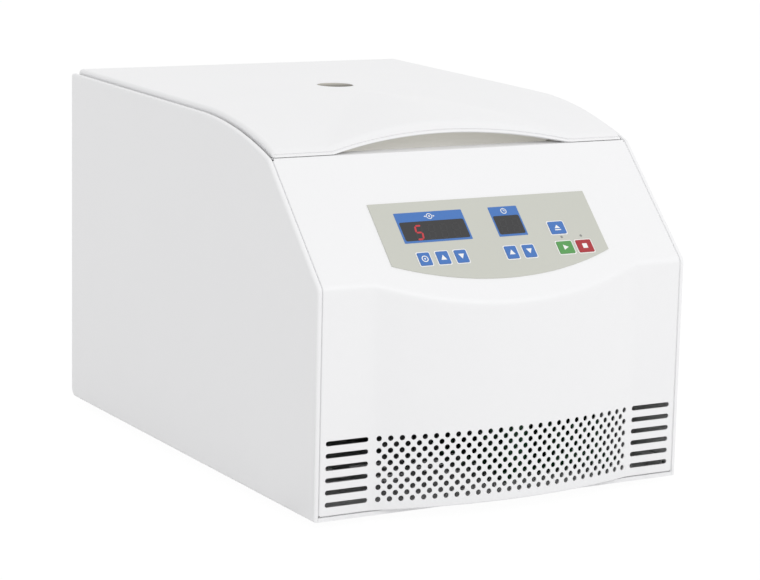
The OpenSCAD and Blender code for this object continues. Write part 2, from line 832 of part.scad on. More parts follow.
module hinge_slots() {
    both_sides() translate([hinge_span / 2 - 16, lid_rear - lid_t - 1, skirt_h - 1])
        cube([32, lid_t + 2, 20]);
}

module lid_liner() {
    rear = hinge_y - 14;
    half = lid_half - lid_t;
    rise = skirt_h + 6;
    color("gainsboro") machine() difference() {
        block([-half, liner_y, liner_low], [half, rear, rise]);
        block([-half + liner_t, liner_y + liner_t, liner_low + liner_t],
              [half - liner_t, rear - liner_t, rise + 1]);
        translate([0, sight_y, liner_low - 1]) cylinder(r = tube_r, h = liner_t + 2);
    }
}

module sight_tube() {
    color("dimgray") machine() translate([0, sight_y, liner_low]) difference() {
        cylinder(r = tube_r, h = sight_top - liner_low - 0.4);
        translate([0, 0, -1]) cylinder(r = sight_r, h = 100);
    }
}

module sight_glass() {
    glass_t = 4;
    color("lightblue", 0.4) machine() translate([0, sight_y, sight_top + lid_t - 0.6 - glass_t])
        cylinder(r = sight_r, h = glass_t);
}

module at_hinges() {
    for (s = [-1, 1]) translate([s * hinge_span / 2, 0, 0]) children();
}

// Height of the lid shell's inner surface at a distance y from the front.
function under_lid(y) = crown(y) + lid_rise - lid_t;

module hinge_arms() {
    reach = 70;
    post = 12;
    low = skirt_h + 8;
    color("gray") machine() difference() {
        union() {
            at_hinges() across(-hinge_half, hinge_half, [
                [hinge_y - reach, low], [hinge_y - 18, low], [hinge_y - knuckle_r, hinge_h - 2],
                [hinge_y, hinge_h], [hinge_y + 2, hinge_h + knuckle_r],
                [hinge_y - 14, skirt_h + 30], [hinge_y - reach, low + 8]]);
            at_hinges() translate([-hinge_half, hinge_y, hinge_h]) rotate([0, 90, 0])
                cylinder(r = knuckle_r, h = 2 * hinge_half);
            for (y = [hinge_y - reach, hinge_y - reach / 2 + 1]) at_hinges()
                across(-hinge_half, hinge_half, [[y, low + 1], [y, under_lid(y)],
                    [y + post, under_lid(y + post)], [y + post, low + 1]]);
        }
        at_hinges() translate([-hinge_half - 1, hinge_y, hinge_h]) rotate([0, 90, 0])
            cylinder(r = hinge_pin_r + 0.05, h = 2 * hinge_half + 2);
    }
}

module hinge_brackets() {
    plate_t = 4;
    out = ear_in + hinge_ear;
    front = hinge_y - 6;
    color("gray") machine() difference() {
        at_hinges() {
            block([-out, front, deck_h], [out, hinge_y + 14, deck_h + plate_t]);
            for (s = [0, 1]) mirror([s, 0, 0]) {
                translate([ear_in, hinge_y, hinge_h]) rotate([0, 90, 0])
                    cylinder(r = knuckle_r, h = hinge_ear);
                block([ear_in, front, deck_h], [out, hinge_y + knuckle_r, hinge_h]);
            }
        }
        at_hinges() translate([-out - 1, hinge_y, hinge_h]) rotate([0, 90, 0])
            cylinder(r = hinge_pin_r, h = 2 * out + 2);
    }
}

module hinge_pins() {
    l = 2 * (ear_in + hinge_ear + 1);
    color("silver") machine() at_hinges() translate([-l / 2, hinge_y, hinge_h])
        rotate([0, 90, 0]) cylinder(r = hinge_pin_r, h = l);
}

module lid_strikers() {
    color("silver") machine() both_sides() translate([striker_x, striker_y, 0]) {
        for (s = [-1, 1]) translate([s * striker_half, 0, striker_h])
            cylinder(r = wire_r, h = liner_low - striker_h, $fn = 32);
        translate([-striker_half - wire_r, 0, striker_h]) rotate([0, 90, 0])
            cylinder(r = wire_r, h = 2 * (striker_half + wire_r), $fn = 32);
        block([-striker_half - 5, -6, liner_low - 3], [striker_half + 5, 6, liner_low]);
    }
}

// The hooks are drawn swung back, clear of the strikers; they turn down by latch_free to hold the lid.
module latch_bar() {
    reach = striker_y - latch_y;
    over = striker_h + wire_r + 0.5 - latch_h;
    hook_half = 4;
    lever_half = 6;
    color("gray") machine() translate([0, latch_y, latch_h]) rotate([latch_free, 0, 0]) {
        translate([-latch_half, 0, 0]) rotate([0, 90, 0])
            cylinder(r = latch_shaft_r, h = 2 * latch_half);
        for (s = [-1, 1]) across(s * striker_x - hook_half, s * striker_x + hook_half, [
            [-5, -4], [6, -4], [reach - 9, over], [reach + 4, over],
            [reach + 4, over + 3], [reach - 2, over + 8], [0, over + 6], [-5, 4]]);
        across(-lever_half, lever_half, [[-3, 0], [3, 0], [2, -10], [-2, -10]]);
    }
}

module latch_brackets() {
    half = [2, 8];
    color("silver") machine() difference() {
        for (s = [-1, 1]) translate([s * (latch_half - 8), latch_y, 0])
            block([-half[0], -half[1], latch_h - half[1]], [half[0], half[1], deck_h - deck_t]);
        translate([-half_w, latch_y, latch_h]) rotate([0, 90, 0])
            cylinder(r = latch_shaft_r + 0.05, h = body_w);
    }
}

module latch_solenoid() {
    half = 14;
    strap = 4;
    back = latch_y - 62;
    front = latch_y - 20;
    coil_low = latch_h - 30;
    coil_top = latch_h - 4;
    plunger = [2.5, 17];
    under_deck = deck_h - deck_t;
    color("darkslategray") machine() {
        block([-half, back, coil_low], [half, front, coil_top]);
        translate([0, front - 1, latch_h - 8]) rotate([-90, 0, 0])
            cylinder(r = plunger[0], h = plunger[1]);
        block([-half, back, coil_top], [strap - half, front - 2, under_deck]);
        block([-half, front - 6, under_deck - 2], [strap - half, latch_y - 8, under_deck]);
    }
}

module drive_board() {
    low = [22, 32];
    high = [148, 158];
    post = [3, 10];
    board_top = tray_t + post[1] + board_t;
    sink_low = [90, 50];
    sink_high = [146, 140];
    sink_t = 4.4;
    fins = 8;
    fin_step = 7;
    fin = [2, 30];
    can = [12, 38];
    color("darkgreen") machine() {
        for (x = [low[0] + 8, high[0] - 8], y = [low[1] + 8, high[1] - 8])
            translate([x, y, tray_t]) cylinder(r = post[0], h = post[1]);
        block([low[0], low[1], tray_t + post[1]], [high[0], high[1], board_top]);
        block([sink_low[0], sink_low[1], board_top], [sink_high[0], sink_high[1], board_top + sink_t]);
        for (i = [0:fins - 1]) translate([sink_low[0] + 2 + i * fin_step, 0, board_top + sink_t - 1])
            block([0, sink_low[1], 0], [fin[0], sink_high[1], fin[1]]);
        for (y = [60, 95]) translate([low[0] + 28, y, board_top]) cylinder(r = can[0], h = can[1]);
    }
}

module power_inlet() {
    flange = [24, 14];
    depth = 26;
    recess = [11.5, 7.5];
    recess_depth = 17;
    blade = [1, 14, 2];
    color("black") machine() translate([inlet_x, body_d, socket_h]) difference() {
        union() {
            block([-flange[0], 0, -flange[1]], [flange[0], inlet_flange_t, flange[1]]);
            block([-inlet_half[0], -depth, -inlet_half[1]], [inlet_half[0], 1, inlet_half[1]]);
        }
        block([-recess[0], -recess_depth, -recess[1]], [recess[0], inlet_flange_t + 1, recess[1]]);
        for (s = [-1, 1]) translate([s * inlet_screw_x, -1, 0]) rotate([-90, 0, 0])
            cylinder(r = 1.7, h = inlet_flange_t + 2);
    }
    color("silver") machine() translate([inlet_x, body_d - recess_depth - 1, socket_h])
        for (pin = [[-7, -3], [0, 1], [7, -3]]) translate([pin[0], 0, pin[1]])
            block([-blade[0], 0, -blade[2]], blade);
}

module switch_frame() {
    flange = [12.5, 16.5];
    flange_t = 1.5;
    depth = 20;
    well = 13;
    room = [rocker_half + 0.4, 12.6];
    axle_half = rocker_half + 1.4;
    color("black") machine() translate([switch_x, body_d, socket_h]) difference() {
        union() {
            block([-flange[0], 0, -flange[1]], [flange[0], flange_t, flange[1]]);
            block([-switch_half[0], -depth, -switch_half[1]], [switch_half[0], 1, switch_half[1]]);
        }
        block([-room[0], -well, -room[1]], [room[0], 2, room[1]]);
        translate([-axle_half, -rocker_depth, 0]) rotate([0, 90, 0])
            cylinder(r = axle_r + 0.05, h = 2 * axle_half, $fn = 32);
    }
}

module rocker_switch() {
    low = -2;
    high = rocker_depth - 1;
    axle_half = rocker_half + 1;
    color("black") machine() translate([switch_x, body_d - rocker_depth, socket_h])
        rotate([90, 0, 90]) {
            translate([0, 0, -rocker_half]) linear_extrude(2 * rocker_half)
                polygon([[low, -9], [high + 2.5, -10], [high, 0], [high - 0.2, 10.5], [low, 9]]);
            translate([0, 0, -axle_half]) cylinder(r = axle_r, h = 2 * axle_half, $fn = 32);
        }
}

module fan_frame() {
    half = fan_w / 2;
    strut = [half + 8, 2];
    motor = [17, 3];
    axle = [3, 12];
    wire = [1.6, 1];
    color("black") machine() translate([fan_x, 0, fan_h]) {
        difference() {
            block([-half, fan_y, -half], [half, rear_in, half]);
            translate([0, fan_y - 1, 0]) rotate([-90, 0, 0]) cylinder(r = half - 2.5, h = fan_t + 2);
        }
        for (a = [45, 135]) rotate([0, a, 0])
            block([-strut[0], fan_y, -strut[1]], [strut[0], fan_y + strut[1], strut[1]]);
        for (c = [motor, axle]) translate([0, fan_y, 0]) rotate([-90, 0, 0])
            cylinder(r = c[0], h = c[1]);
        for (r = [10, 20, 30]) translate([0, body_d, 0]) rotate([-90, 0, 0]) rotate_extrude()
            translate([r, 0]) square([wire[0], rear_proud]);
        for (a = [0, 90]) rotate([0, a, 0])
            block([-half, body_d, -wire[1]], [half, body_d + 2 * wire[1], wire[1]]);
    }
}

module fan_wheel() {
    blades = 7;
    hub = [17, 17];
    blade = [fan_w / 2 - 20, 18, 1.8];
    pitch = 38;
    color("dimgray") machine() translate([fan_x, fan_y + 5, fan_h]) rotate([-90, 0, 0]) {
        difference() {
            cylinder(r = hub[0], h = hub[1]);
            translate([0, 0, -1]) cylinder(r = 3.05, h = 9);
        }
        for (i = [0:blades - 1]) rotate([0, 0, i * 360 / blades])
            translate([hub[0] - 2, 0, hub[1] / 2]) rotate([pitch, 0, 0])
                translate([0, -blade[1] / 2, -blade[2] / 2]) cube(blade);
    }
}

module housing_screws() {
    head = [3.2, 1.6];
    small = [2.6, 1];
    color("silver") machine() {
        for (sx = [-1, 1], z = [20, 110, 200, 270])
            translate([sx * (tray_half - 8), body_d, z]) rotate([-90, 0, 0])
                cylinder(r = head[0], h = head[1], $fn = 32);
        for (s = [-1, 1])
            translate([inlet_x + s * inlet_screw_x, body_d + inlet_flange_t, socket_h])
                rotate([-90, 0, 0]) cylinder(r = small[0], h = small[1], $fn = 32);
    }
}

base_tray();
for (f = FEET) foot(f[1], f[2]);
side_panel();  // left_side_panel
mirror([1, 0, 0]) side_panel();  // right_side_panel
front_panel();
rear_panel();
top_deck();
deck_rails();
grip_trough();
control_overlay();
display_windows();
display_block(speed_x, speed_window_w);  // speed_display
display_block(time_x, time_window_w);  // time_display
control_board();
key_switches();
board_standoffs();
lamp(start_x);  // start_lamp
lamp(stop_x);  // stop_lamp
for (k = KEYS) key(k);
chamber_bowl();
chamber_seal();
guard_ring();
motor_base();
motor_isolators();
motor_housing();
shaft_gaiter();
motor_shaft();
rotor_yoke();
rotor_nut();
carrier_pins();
mirror([1, 0, 0]) carrier();  // left_carrier
carrier();  // right_carrier
lid_shell();
lid_liner();
sight_tube();
sight_glass();
hinge_arms();
lid_strikers();
hinge_brackets();
hinge_pins();
latch_bar();
latch_brackets();
latch_solenoid();
drive_board();
power_inlet();
switch_frame();
rocker_switch();
fan_frame();
fan_wheel();
housing_screws();
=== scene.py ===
# %% [markdown]
# # A bench microplate centrifuge
# The machine is a white sheet-metal cabinet with a moulded lid, a printed control face and a
# perforated front that lets air in to the motor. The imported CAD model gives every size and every
# moving body, and this notebook dresses it: the skins that are seen get their rounded edges,
# folds and prints, and each hidden part gets a finish.
#
# Lengths below are in millimetres in the maker's frame, with the front plane at y = 0 and the
# cabinet's underside at z = 0. One helper turns them into metres in the shared frame.

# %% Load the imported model
import math

import bmesh
import bpy
import numpy as np
from mathutils import Matrix, Vector


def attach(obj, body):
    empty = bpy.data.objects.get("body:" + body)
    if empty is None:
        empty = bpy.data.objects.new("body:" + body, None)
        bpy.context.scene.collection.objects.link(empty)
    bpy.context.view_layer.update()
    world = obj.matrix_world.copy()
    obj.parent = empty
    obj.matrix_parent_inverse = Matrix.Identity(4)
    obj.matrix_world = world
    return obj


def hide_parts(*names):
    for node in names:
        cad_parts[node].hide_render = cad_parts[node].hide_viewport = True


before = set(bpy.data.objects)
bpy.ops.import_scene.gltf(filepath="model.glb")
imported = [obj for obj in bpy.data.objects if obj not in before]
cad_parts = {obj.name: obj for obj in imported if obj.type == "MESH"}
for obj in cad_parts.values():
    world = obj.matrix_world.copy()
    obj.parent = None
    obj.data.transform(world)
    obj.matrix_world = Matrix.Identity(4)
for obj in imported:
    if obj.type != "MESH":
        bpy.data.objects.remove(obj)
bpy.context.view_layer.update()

FRONT_Y, FOOT_H = -255.4, 7.0


def place(points):
    """Maker's millimetres to metres in the shared frame."""
    return (np.asarray(points, float) + (0.0, FRONT_Y, FOOT_H)) / 1000.0


# %% [markdown]
# ## The forms that everything hangs on
# Four curves describe the cabinet: the crown along the top of the side panels, the bow of the
# front seen from above, the sloping control face, and the swept form of the lid over the finger
# opening. Writing them as functions keeps the skins, the lid and the prints in agreement,
# where separate meshes would drift apart.

# %% The named sizes
HALF_W, BODY_D, REAR_H = 190.0, 528.0, 332.0
BROW_Y, BROW_H, FOLD_H = 96.0, 301.0, 203.0
CROWN_Y, TOP_FALL = 235.0, math.radians(1.0)
BULGE_DEPTH, BULGE_HALF = 20.2, 134.5
BULGE_R = (BULGE_HALF ** 2 + BULGE_DEPTH ** 2) / (2 * BULGE_DEPTH)
SLOPE = (BROW_H - FOLD_H) / BROW_Y
SLOPE_A = math.atan(SLOPE)
BOW_SOFT, FOLD_SOFT = 2.4, 3.2
RIM_W, RIM_T, SKIN = 4.4, 2.0, 1.5
PANEL_HALF, PANEL_LOW = HALF_W - RIM_W - 0.8, 4.4
LID_HALF, LID_REAR, SKIRT_H, LID_T = 183.0, 526.0, 288.0, 3.0
LIP_LOW, LIP_TOP, GRIP_HALF, GRIP_H = 301.6, 306.8, 124.0, 13.0
SIGHT_Y, SIGHT_R = 322.0, 17.5

CROWN_H = REAR_H - (BODY_D - CROWN_Y) * math.tan(TOP_FALL)
chord_a = math.atan2(CROWN_H - BROW_H, CROWN_Y - BROW_Y)
CROWN_R = math.hypot(CROWN_Y - BROW_Y, CROWN_H - BROW_H) / (2 * math.sin(chord_a - TOP_FALL))
CROWN_C = (CROWN_Y + CROWN_R * math.sin(TOP_FALL), CROWN_H - CROWN_R * math.cos(TOP_FALL))
print("crown radius", round(CROWN_R, 1), "bow radius", round(BULGE_R, 1))


# %% The curves
def crown(y):
    """Height of the side panels' upper edge."""
    y = np.asarray(y, float)
    arc = CROWN_C[1] + np.sqrt(np.maximum(CROWN_R ** 2 - (y - CROWN_C[0]) ** 2, 0))
    return np.where(y >= CROWN_Y, CROWN_H + (y - CROWN_Y) * math.tan(TOP_FALL), arc)


def soft_max(a, b, k):
    """The larger of two heights, with the corner between them rounded over the width k."""
    h = np.maximum(k - np.abs(a - b), 0) / k
    return np.maximum(a, b) + h * h * k / 4


def front_y(x, z):
    """The front skin: flat sides, a bowed middle, and the control face cutting across both."""
    x, z = np.asarray(x, float), np.asarray(z, float)
    bow = BULGE_R - BULGE_DEPTH - np.sqrt(np.maximum(BULGE_R ** 2 - x * x, 0))
    upright = -soft_max(0 * x, -bow, BOW_SOFT)
    return soft_max(upright, (z - FOLD_H) / SLOPE, FOLD_SOFT)


def on_face(x, s, n=0.0):
    """A point on the control face: s runs up the slope from the fold, n stands out of it."""
    c, d = math.cos(SLOPE_A), math.sin(SLOPE_A)
    x, s, n = np.broadcast_arrays(np.asarray(x, float), s, n)
    return np.stack([x, s * c - n * d, FOLD_H + s * d + n * c], -1)


def blend(t):
    u = np.clip(t, 0, 1)
    return u * u * (3 - 2 * u)


# %% [markdown]
# ## Helpers that turn points into finished pieces
# Every skin here is a closed mesh with its place in its vertices. Faces are smooth, edges sharper
# than a limit are kept crisp, and a Weighted Normal modifier keeps the large flats flat.

# %% Mesh helpers
LARGE_FACE = 20


def finish_mesh(ob, sharp=35.0):
    """Merges doubles, points the faces outwards and sets smooth shading with crisp edges.

    A face with many corners keeps a crisp border, or its shading would show its triangles.
    """
    bm = bmesh.new()
    bm.from_mesh(ob.data)
    bmesh.ops.remove_doubles(bm, verts=bm.verts, dist=1e-6)
    bmesh.ops.recalc_face_normals(bm, faces=bm.faces)
    for f in bm.faces:
        f.smooth = True
    for e in bm.edges:
        large = any(len(f.verts) > LARGE_FACE for f in e.link_faces)
        e.smooth = (len(e.link_faces) == 2 and not large
                    and e.calc_face_angle(0) < math.radians(sharp))
    bm.to_mesh(ob.data)
    bm.free()
    return ob


def new_piece(name, points, faces, metres=False):
    mesh = bpy.data.meshes.new(name)
    co = np.asarray(points, float) if metres else place(points)
    mesh.from_pydata(co.tolist(), [], [list(map(int, f)) for f in faces])
    ob = bpy.data.objects.new(name, mesh)
    bpy.context.scene.collection.objects.link(ob)
    return ob


def flatten(ob):
    """Replaces a piece's mesh by its evaluated mesh and drops the modifiers."""
    bpy.context.view_layer.update()
    seen = ob.evaluated_get(bpy.context.evaluated_depsgraph_get())
    mesh = bpy.data.meshes.new_from_object(seen)
    ob.modifiers.clear()
    ob.data = mesh
    return ob


def weighted(ob):
    ob.modifiers.new("flat faces", "WEIGHTED_NORMAL").keep_sharp = True
    return ob


def dress(ob, body, material, slot=None, *nodes):
    """Material, body and the CAD nodes that the piece stands for. The slot argument is not used."""
    ob.data.materials.clear()
    ob.data.materials.append(material)
    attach(ob, body)
    if nodes:
        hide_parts(*nodes)
    return ob


def grid_faces(columns, rows, keep=lambda i, j: True):
    return [(i * rows + j, (i + 1) * rows + j, (i + 1) * rows + j + 1, i * rows + j + 1)
            for i in range(columns - 1) for j in range(rows - 1) if keep(i, j)]


# %% [markdown]
# ## Finishes
# Paint, moulded plastic, rubber and machined metal differ in how rough they are and in how the
# colour and the surface wander over a few millimetres. One recipe makes them all: noise on Object
# coordinates moves the colour a little, a finer noise feeds the roughness and a bump. A small
# class lets the shader's sums be written as plain expressions.

# %% Shader expressions
class Field:
    """A shader socket that can be used in sums."""

    def __init__(self, shader, socket):
        self.shader, self.socket = shader, socket

    def _maths(self, operation, *values):
        return self.shader.add("ShaderNodeMath", {"operation": operation},
                               {i: v for i, v in enumerate(values)}, 0)

    def __add__(self, o): return self._maths("ADD", self, o)
    def __radd__(self, o): return self._maths("ADD", o, self)
    def __sub__(self, o): return self._maths("SUBTRACT", self, o)
    def __rsub__(self, o): return self._maths("SUBTRACT", o, self)
    def __mul__(self, o): return self._maths("MULTIPLY", self, o)
    def __rmul__(self, o): return self._maths("MULTIPLY", o, self)
    def __truediv__(self, o): return self._maths("DIVIDE", self, o)


class Shader:
    """A material's nodes, added one call at a time."""

    def __init__(self, name):
        self.material = bpy.data.materials.new(name)
        self.material.use_nodes = True
        self.tree = self.material.node_tree
        self.surface = self.tree.nodes["Principled BSDF"]

    def add(self, kind, settings=None, inputs=None, output=0):
        node = self.tree.nodes.new(kind)
        for key, value in (settings or {}).items():
            setattr(node, key, value)
        for key, value in (inputs or {}).items():
            self.set(node.inputs[key], value)
        return Field(self, node.outputs[output])

    def set(self, socket, value):
        if isinstance(value, Field):
            self.tree.links.new(value.socket, socket)
        else:
            socket.default_value = value

    def feed(self, **inputs):
        for key, value in inputs.items():
            self.set(self.surface.inputs[key.replace("_", " ")], value)

    def object_point(self):
        return self.add("ShaderNodeTexCoord", output="Object")


def linear(code):
    """A hex colour to the linear values that shaders use."""
    v = np.array([int(code[i:i + 2], 16) / 255 for i in (0, 2, 4)])
    v = np.where(v <= 0.04045, v / 12.92, ((v + 0.055) / 1.055) ** 2.4)
    return (*map(float, v), 1.0)


BROAD, BUMP_DEPTH = 14.0, 0.0004


def finish(name, code, rough, metallic=0.0, wander=0.03, grain=900.0, rough_wander=0.05,
           bump=0.0, stretch=(1, 1, 1)):
    """A finish whose colour, roughness and surface wander a little over the piece."""
    sh = Shader(name)
    point = sh.add("ShaderNodeMapping", {}, {"Vector": sh.object_point(), "Scale": stretch})
    broad = sh.add("ShaderNodeTexNoise", {}, {"Vector": point, "Scale": BROAD, "Detail": 2.0})
    fine = sh.add("ShaderNodeTexNoise", {}, {"Vector": point, "Scale": grain, "Detail": 3.0})
    base = linear(code)
    tint = sh.add("ShaderNodeMix", {"data_type": "RGBA"},
                  {0: broad, 6: tuple(c * (1 - wander) for c in base[:3]) + (1.0,),
                   7: tuple(min(1.0, c * (1 + wander)) for c in base[:3]) + (1.0,)}, 2)
    sh.feed(Base_Color=tint, Metallic=metallic,
            Roughness=rough + (fine - 0.5) * (2 * rough_wander))
    if bump:
        sh.feed(Normal=sh.add("ShaderNodeBump", {},
                              {"Strength": bump, "Distance": BUMP_DEPTH, "Height": fine}))
    return sh.material


# %% The finishes of this machine
cabinet_white = finish("cabinet powder coat", "F3F3F4", 0.42, wander=0.006, grain=1100, bump=0.10)
lid_white = finish("lid moulding", "F2F2F3", 0.34, wander=0.006, grain=700, bump=0.04)
liner_grey = finish("liner moulding", "D9D8D2", 0.55, wander=0.02, grain=800, bump=0.05)
deck_grey = finish("deck powder coat", "D6D7D8", 0.45, wander=0.015, bump=0.10)
matt_rubber = finish("matt rubber", "1C1C1D", 0.75, wander=0.12, grain=500, bump=0.15)
seal_rubber = finish("seal rubber", "2E2E30", 0.65, wander=0.10, grain=500, bump=0.10)
overlay_film = finish("overlay film", "C9CAC1", 0.40, wander=0.012, grain=1500, bump=0.06)
print_blue = finish("blue print", "3F73BC", 0.40, wander=0.02, grain=1500)
print_white = finish("white print", "F4F4F2", 0.42, wander=0.01, grain=1500)
key_green = finish("green key", "549A50", 0.40, wander=0.02, grain=1500)
key_red = finish("red key", "A9252E", 0.40, wander=0.02, grain=1500)
smoked_window = finish("smoked window", "2C2C2E", 0.22, wander=0.03, rough_wander=0.02)
digit_off = finish("unlit digit", "303032", 0.30, wander=0.02)
display_black = finish("display block", "19191B", 0.5)
board_green = finish("circuit board", "1D5B37", 0.45, wander=0.10, grain=400)
switch_black = finish("switch black", "1B1B1C", 0.5)
brass = finish("turned brass", "C9A45A", 0.30, 1.0)
lamp_lens = finish("lamp lens", "8E8F8C", 0.25)
bowl_steel = finish("brushed bowl", "C9C9C9", 0.32, 1.0, grain=260, stretch=(1, 1, 9), bump=0.08)
guard_steel = finish("rolled steel", "6B6D70", 0.45, 1.0, wander=0.08, grain=120)
motor_enamel = finish("motor enamel", "3A3D40", 0.42, wander=0.06, bump=0.12)
ground_steel = finish("ground steel", "B5B6B8", 0.25, 1.0, grain=300, stretch=(1, 1, 8))
rotor_alloy = finish("anodised alloy", "BFC2C6", 0.38, 1.0, wander=0.03, grain=900, bump=0.05)
zinc_grey = finish("zinc-coated steel", "8B8C8F", 0.40, 0.8, wander=0.08, grain=90)
coil_black = finish("coil moulding", "202022", 0.55, wander=0.08)
moulded_black = finish("black moulding", "1E1E1F", 0.48, wander=0.08, bump=0.12)
rocker_gloss = finish("rocker gloss", "181819", 0.22, wander=0.05)
screw_steel = finish("screw steel", "A9AAAB", 0.30, 1.0)

# %% [markdown]
# Three finishes are their own: the finger hollow has painted shade, darker towards its top under
# the lip, and a painted glow that lightens it; the lit digit glows; and the sight glass has painted
# shade that darkens it towards the front, as it does where one looks into the tube below it.

# %% Hollow, lit digit and sight glass
HOLLOW_PAINTED_SHADE_Z = (297, 315)
shade = Shader("hollow moulding with painted shade and glow")
height = shade.add("ShaderNodeSeparateXYZ", {}, {0: shade.object_point()}, 2)
painted_shade_share = shade.add("ShaderNodeMapRange", {}, {0: height, 1: place((0, 0, HOLLOW_PAINTED_SHADE_Z[0]))[2],
                                                2: place((0, 0, HOLLOW_PAINTED_SHADE_Z[1]))[2]})
mottle = shade.add("ShaderNodeTexNoise", {}, {"Vector": shade.object_point(), "Scale": 700.0})
# Painted shade: the colour runs from light at the hollow's floor to darker under the lip. The
# emission is a painted glow that lightens the whole hollow, though it is no lamp.
shade.feed(Base_Color=shade.add("ShaderNodeMix", {"data_type": "RGBA"},
                                {0: painted_shade_share, 6: linear("E2E2E1"), 7: linear("BDBAB2")}, 2),
           Roughness=0.5 + (mottle - 0.5) * 0.1, Emission_Color=linear("C9C7C0"),
           Emission_Strength=0.42)
hollow_painted_shade = shade.material

lit = Shader("lit segment")
glow = lit.add("ShaderNodeTexNoise", {}, {"Vector": lit.object_point(), "Scale": 300.0})
lit.feed(Base_Color=linear("A0262F"), Roughness=0.35 + glow * 0.1,
         Emission_Color=linear("B82C36"), Emission_Strength=0.45)
lit_segment = lit.material

glass = Shader("sight glass")
haze = glass.add("ShaderNodeTexNoise", {}, {"Vector": glass.object_point(), "Scale": 60.0})
depth = glass.add("ShaderNodeSeparateXYZ", {}, {0: glass.object_point()}, 1)
near_y, far_y = place((0, SIGHT_Y - SIGHT_R, 0))[1], place((0, SIGHT_Y + SIGHT_R, 0))[1]
painted_shade_to_back = glass.add("ShaderNodeMapRange", {}, {0: depth + haze * 0.006, 1: near_y, 2: far_y})
# Painted shade: the glass is coloured darker at its front and lighter at its back, the way the view
# down into the tube below it falls into shade.
glass.feed(Base_Color=glass.add("ShaderNodeMix", {"data_type": "RGBA"}, {
    0: painted_shade_to_back, 6: linear("5C5B58"), 7: linear("C4C1B8")}, 2),
           Roughness=0.3 + haze * 0.1, Specular_IOR_Level=0.0)
sight_glass_painted_shade = glass.material
print(len(bpy.data.materials), "finishes")

# %% [markdown]
# ## Finishes on the CAD nodes
# Most parts inside the cabinet are shown as the CAD solids themselves. Each gets its finish here;
# the outer skins are replaced further down.

# %% Paint the CAD nodes
NODE_FINISH = {
    cabinet_white: "base_tray left_side_panel right_side_panel front_panel rear_panel",
    lid_white: "lid_shell",
    liner_grey: "lid_liner grip_trough",
    deck_grey: "top_deck deck_rails",
    matt_rubber: "foot_front_left foot_front_right foot_rear_left foot_rear_right "
                 "motor_isolators shaft_gaiter",
    seal_rubber: "chamber_seal",
    overlay_film: "control_overlay",
    smoked_window: "display_windows",
    display_black: "speed_display time_display",
    board_green: "control_board drive_board",
    switch_black: "key_switches",
    brass: "board_standoffs",
    lamp_lens: "start_lamp stop_lamp",
    print_blue: "mode_key speed_up_key speed_down_key time_up_key time_down_key open_key",
    key_green: "start_key",
    key_red: "stop_key",
    bowl_steel: "chamber_bowl",
    guard_steel: "guard_ring motor_base",
    motor_enamel: "motor_housing",
    ground_steel: "motor_shaft carrier_pins hinge_pins lid_strikers latch_bar",
    rotor_alloy: "rotor_yoke rotor_nut left_carrier right_carrier",
    zinc_grey: "hinge_arms hinge_brackets latch_brackets",
    coil_black: "latch_solenoid",
    moulded_black: "power_inlet switch_frame fan_frame fan_wheel sight_tube",
    rocker_gloss: "rocker_switch",
    screw_steel: "housing_screws",
    sight_glass_painted_shade: "sight_glass",
}
for material, names in NODE_FINISH.items():
    for name in names.split():
        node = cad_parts[name]
        node.data.materials.clear()
        node.data.materials.append(material)
bare = sorted(set(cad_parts) - {n for names in NODE_FINISH.values() for n in names.split()})
print("nodes without a finish:", bare)

# %% [markdown]
# ## Side panels
# Each side is one steel sheet pressed to the cabinet's outline with its edge rolled inwards, so
# the white rim catches the light. A bevel on the flat CAD plate would stop at its faceted crown,
# so the rim's cross-section is swept round a finer outline instead, mitred at every point.

# %% Outline of a side panel
PANEL_R, HIGH_BACK_R = 9.0, 3.0


def rounded_corner(before, corner, after, r, steps=6):
    """Points of an arc of radius r that replaces a corner."""
    p, a, b = (np.asarray(v, float) for v in (corner, before, after))
    u, v = (a - p) / np.linalg.norm(a - p), (b - p) / np.linalg.norm(b - p)
    half = math.acos(np.clip(u @ v, -1, 1)) / 2
    reach = r / math.tan(half)
    centre = p + (u + v) / np.linalg.norm(u + v) * (r / math.sin(half))
    start, end = p + u * reach - centre, p + v * reach - centre
    turn = math.acos(np.clip(start @ end / r ** 2, -1, 1))
    return [centre + (start * math.sin((1 - t) * turn) + end * math.sin(t * turn)) / math.sin(turn)
            for t in np.linspace(0, 1, steps)]


def side_outline():
    """Clockwise from the lower front corner, as [y, z]."""
    top = [(y, float(crown(y))) for y in np.linspace(BROW_Y, CROWN_Y, 30)[2:]]
    low_front, fold, brow = (0.0, 0.0), (0.0, FOLD_H), (BROW_Y, BROW_H)
    high_back, low_back = (BODY_D, REAR_H), (BODY_D, 0.0)
    points = [np.array(low_front)] + rounded_corner(low_front, fold, brow, PANEL_R, 7)
    points += rounded_corner(fold, brow, top[0], PANEL_R, 5)
    points += [np.array(p) for p in top]
    points += rounded_corner(top[-1], high_back, low_back, HIGH_BACK_R, 5)
    points += rounded_corner(high_back, low_back, low_front, PANEL_R, 9)
    return np.array(points)


def mitred(points, d):
    """The outline drawn in by d."""
    before, after = np.roll(points, 1, 0), np.roll(points, -1, 0)

    def normal(a, b):
        t = (b - a) / np.linalg.norm(b - a, axis=1)[:, None]
        return np.stack([t[:, 1], -t[:, 0]], 1)

    n0, n1 = normal(before, points), normal(points, after)
    return points + d * (n0 + n1) / (1 + (n0 * n1).sum(1))[:, None]


outline = side_outline()
print("side outline has", len(outline), "points")


# %% Sweep the rim round it
EDGE_R, LEDGE, LEDGE_DOWN = 2.6, 0.6, 1.0
rim = [(EDGE_R * (1 - math.cos(a)), EDGE_R * (1 - math.sin(a)))
       for a in np.linspace(0, math.pi / 2, 7)]
rim += [(RIM_W - 0.5, 0.0), (RIM_W - 0.15, 0.15), (RIM_W, 0.5), (RIM_W, LEDGE_DOWN),
        (RIM_W + LEDGE, LEDGE_DOWN), (RIM_W + LEDGE, RIM_T), (SKIN, RIM_T)]


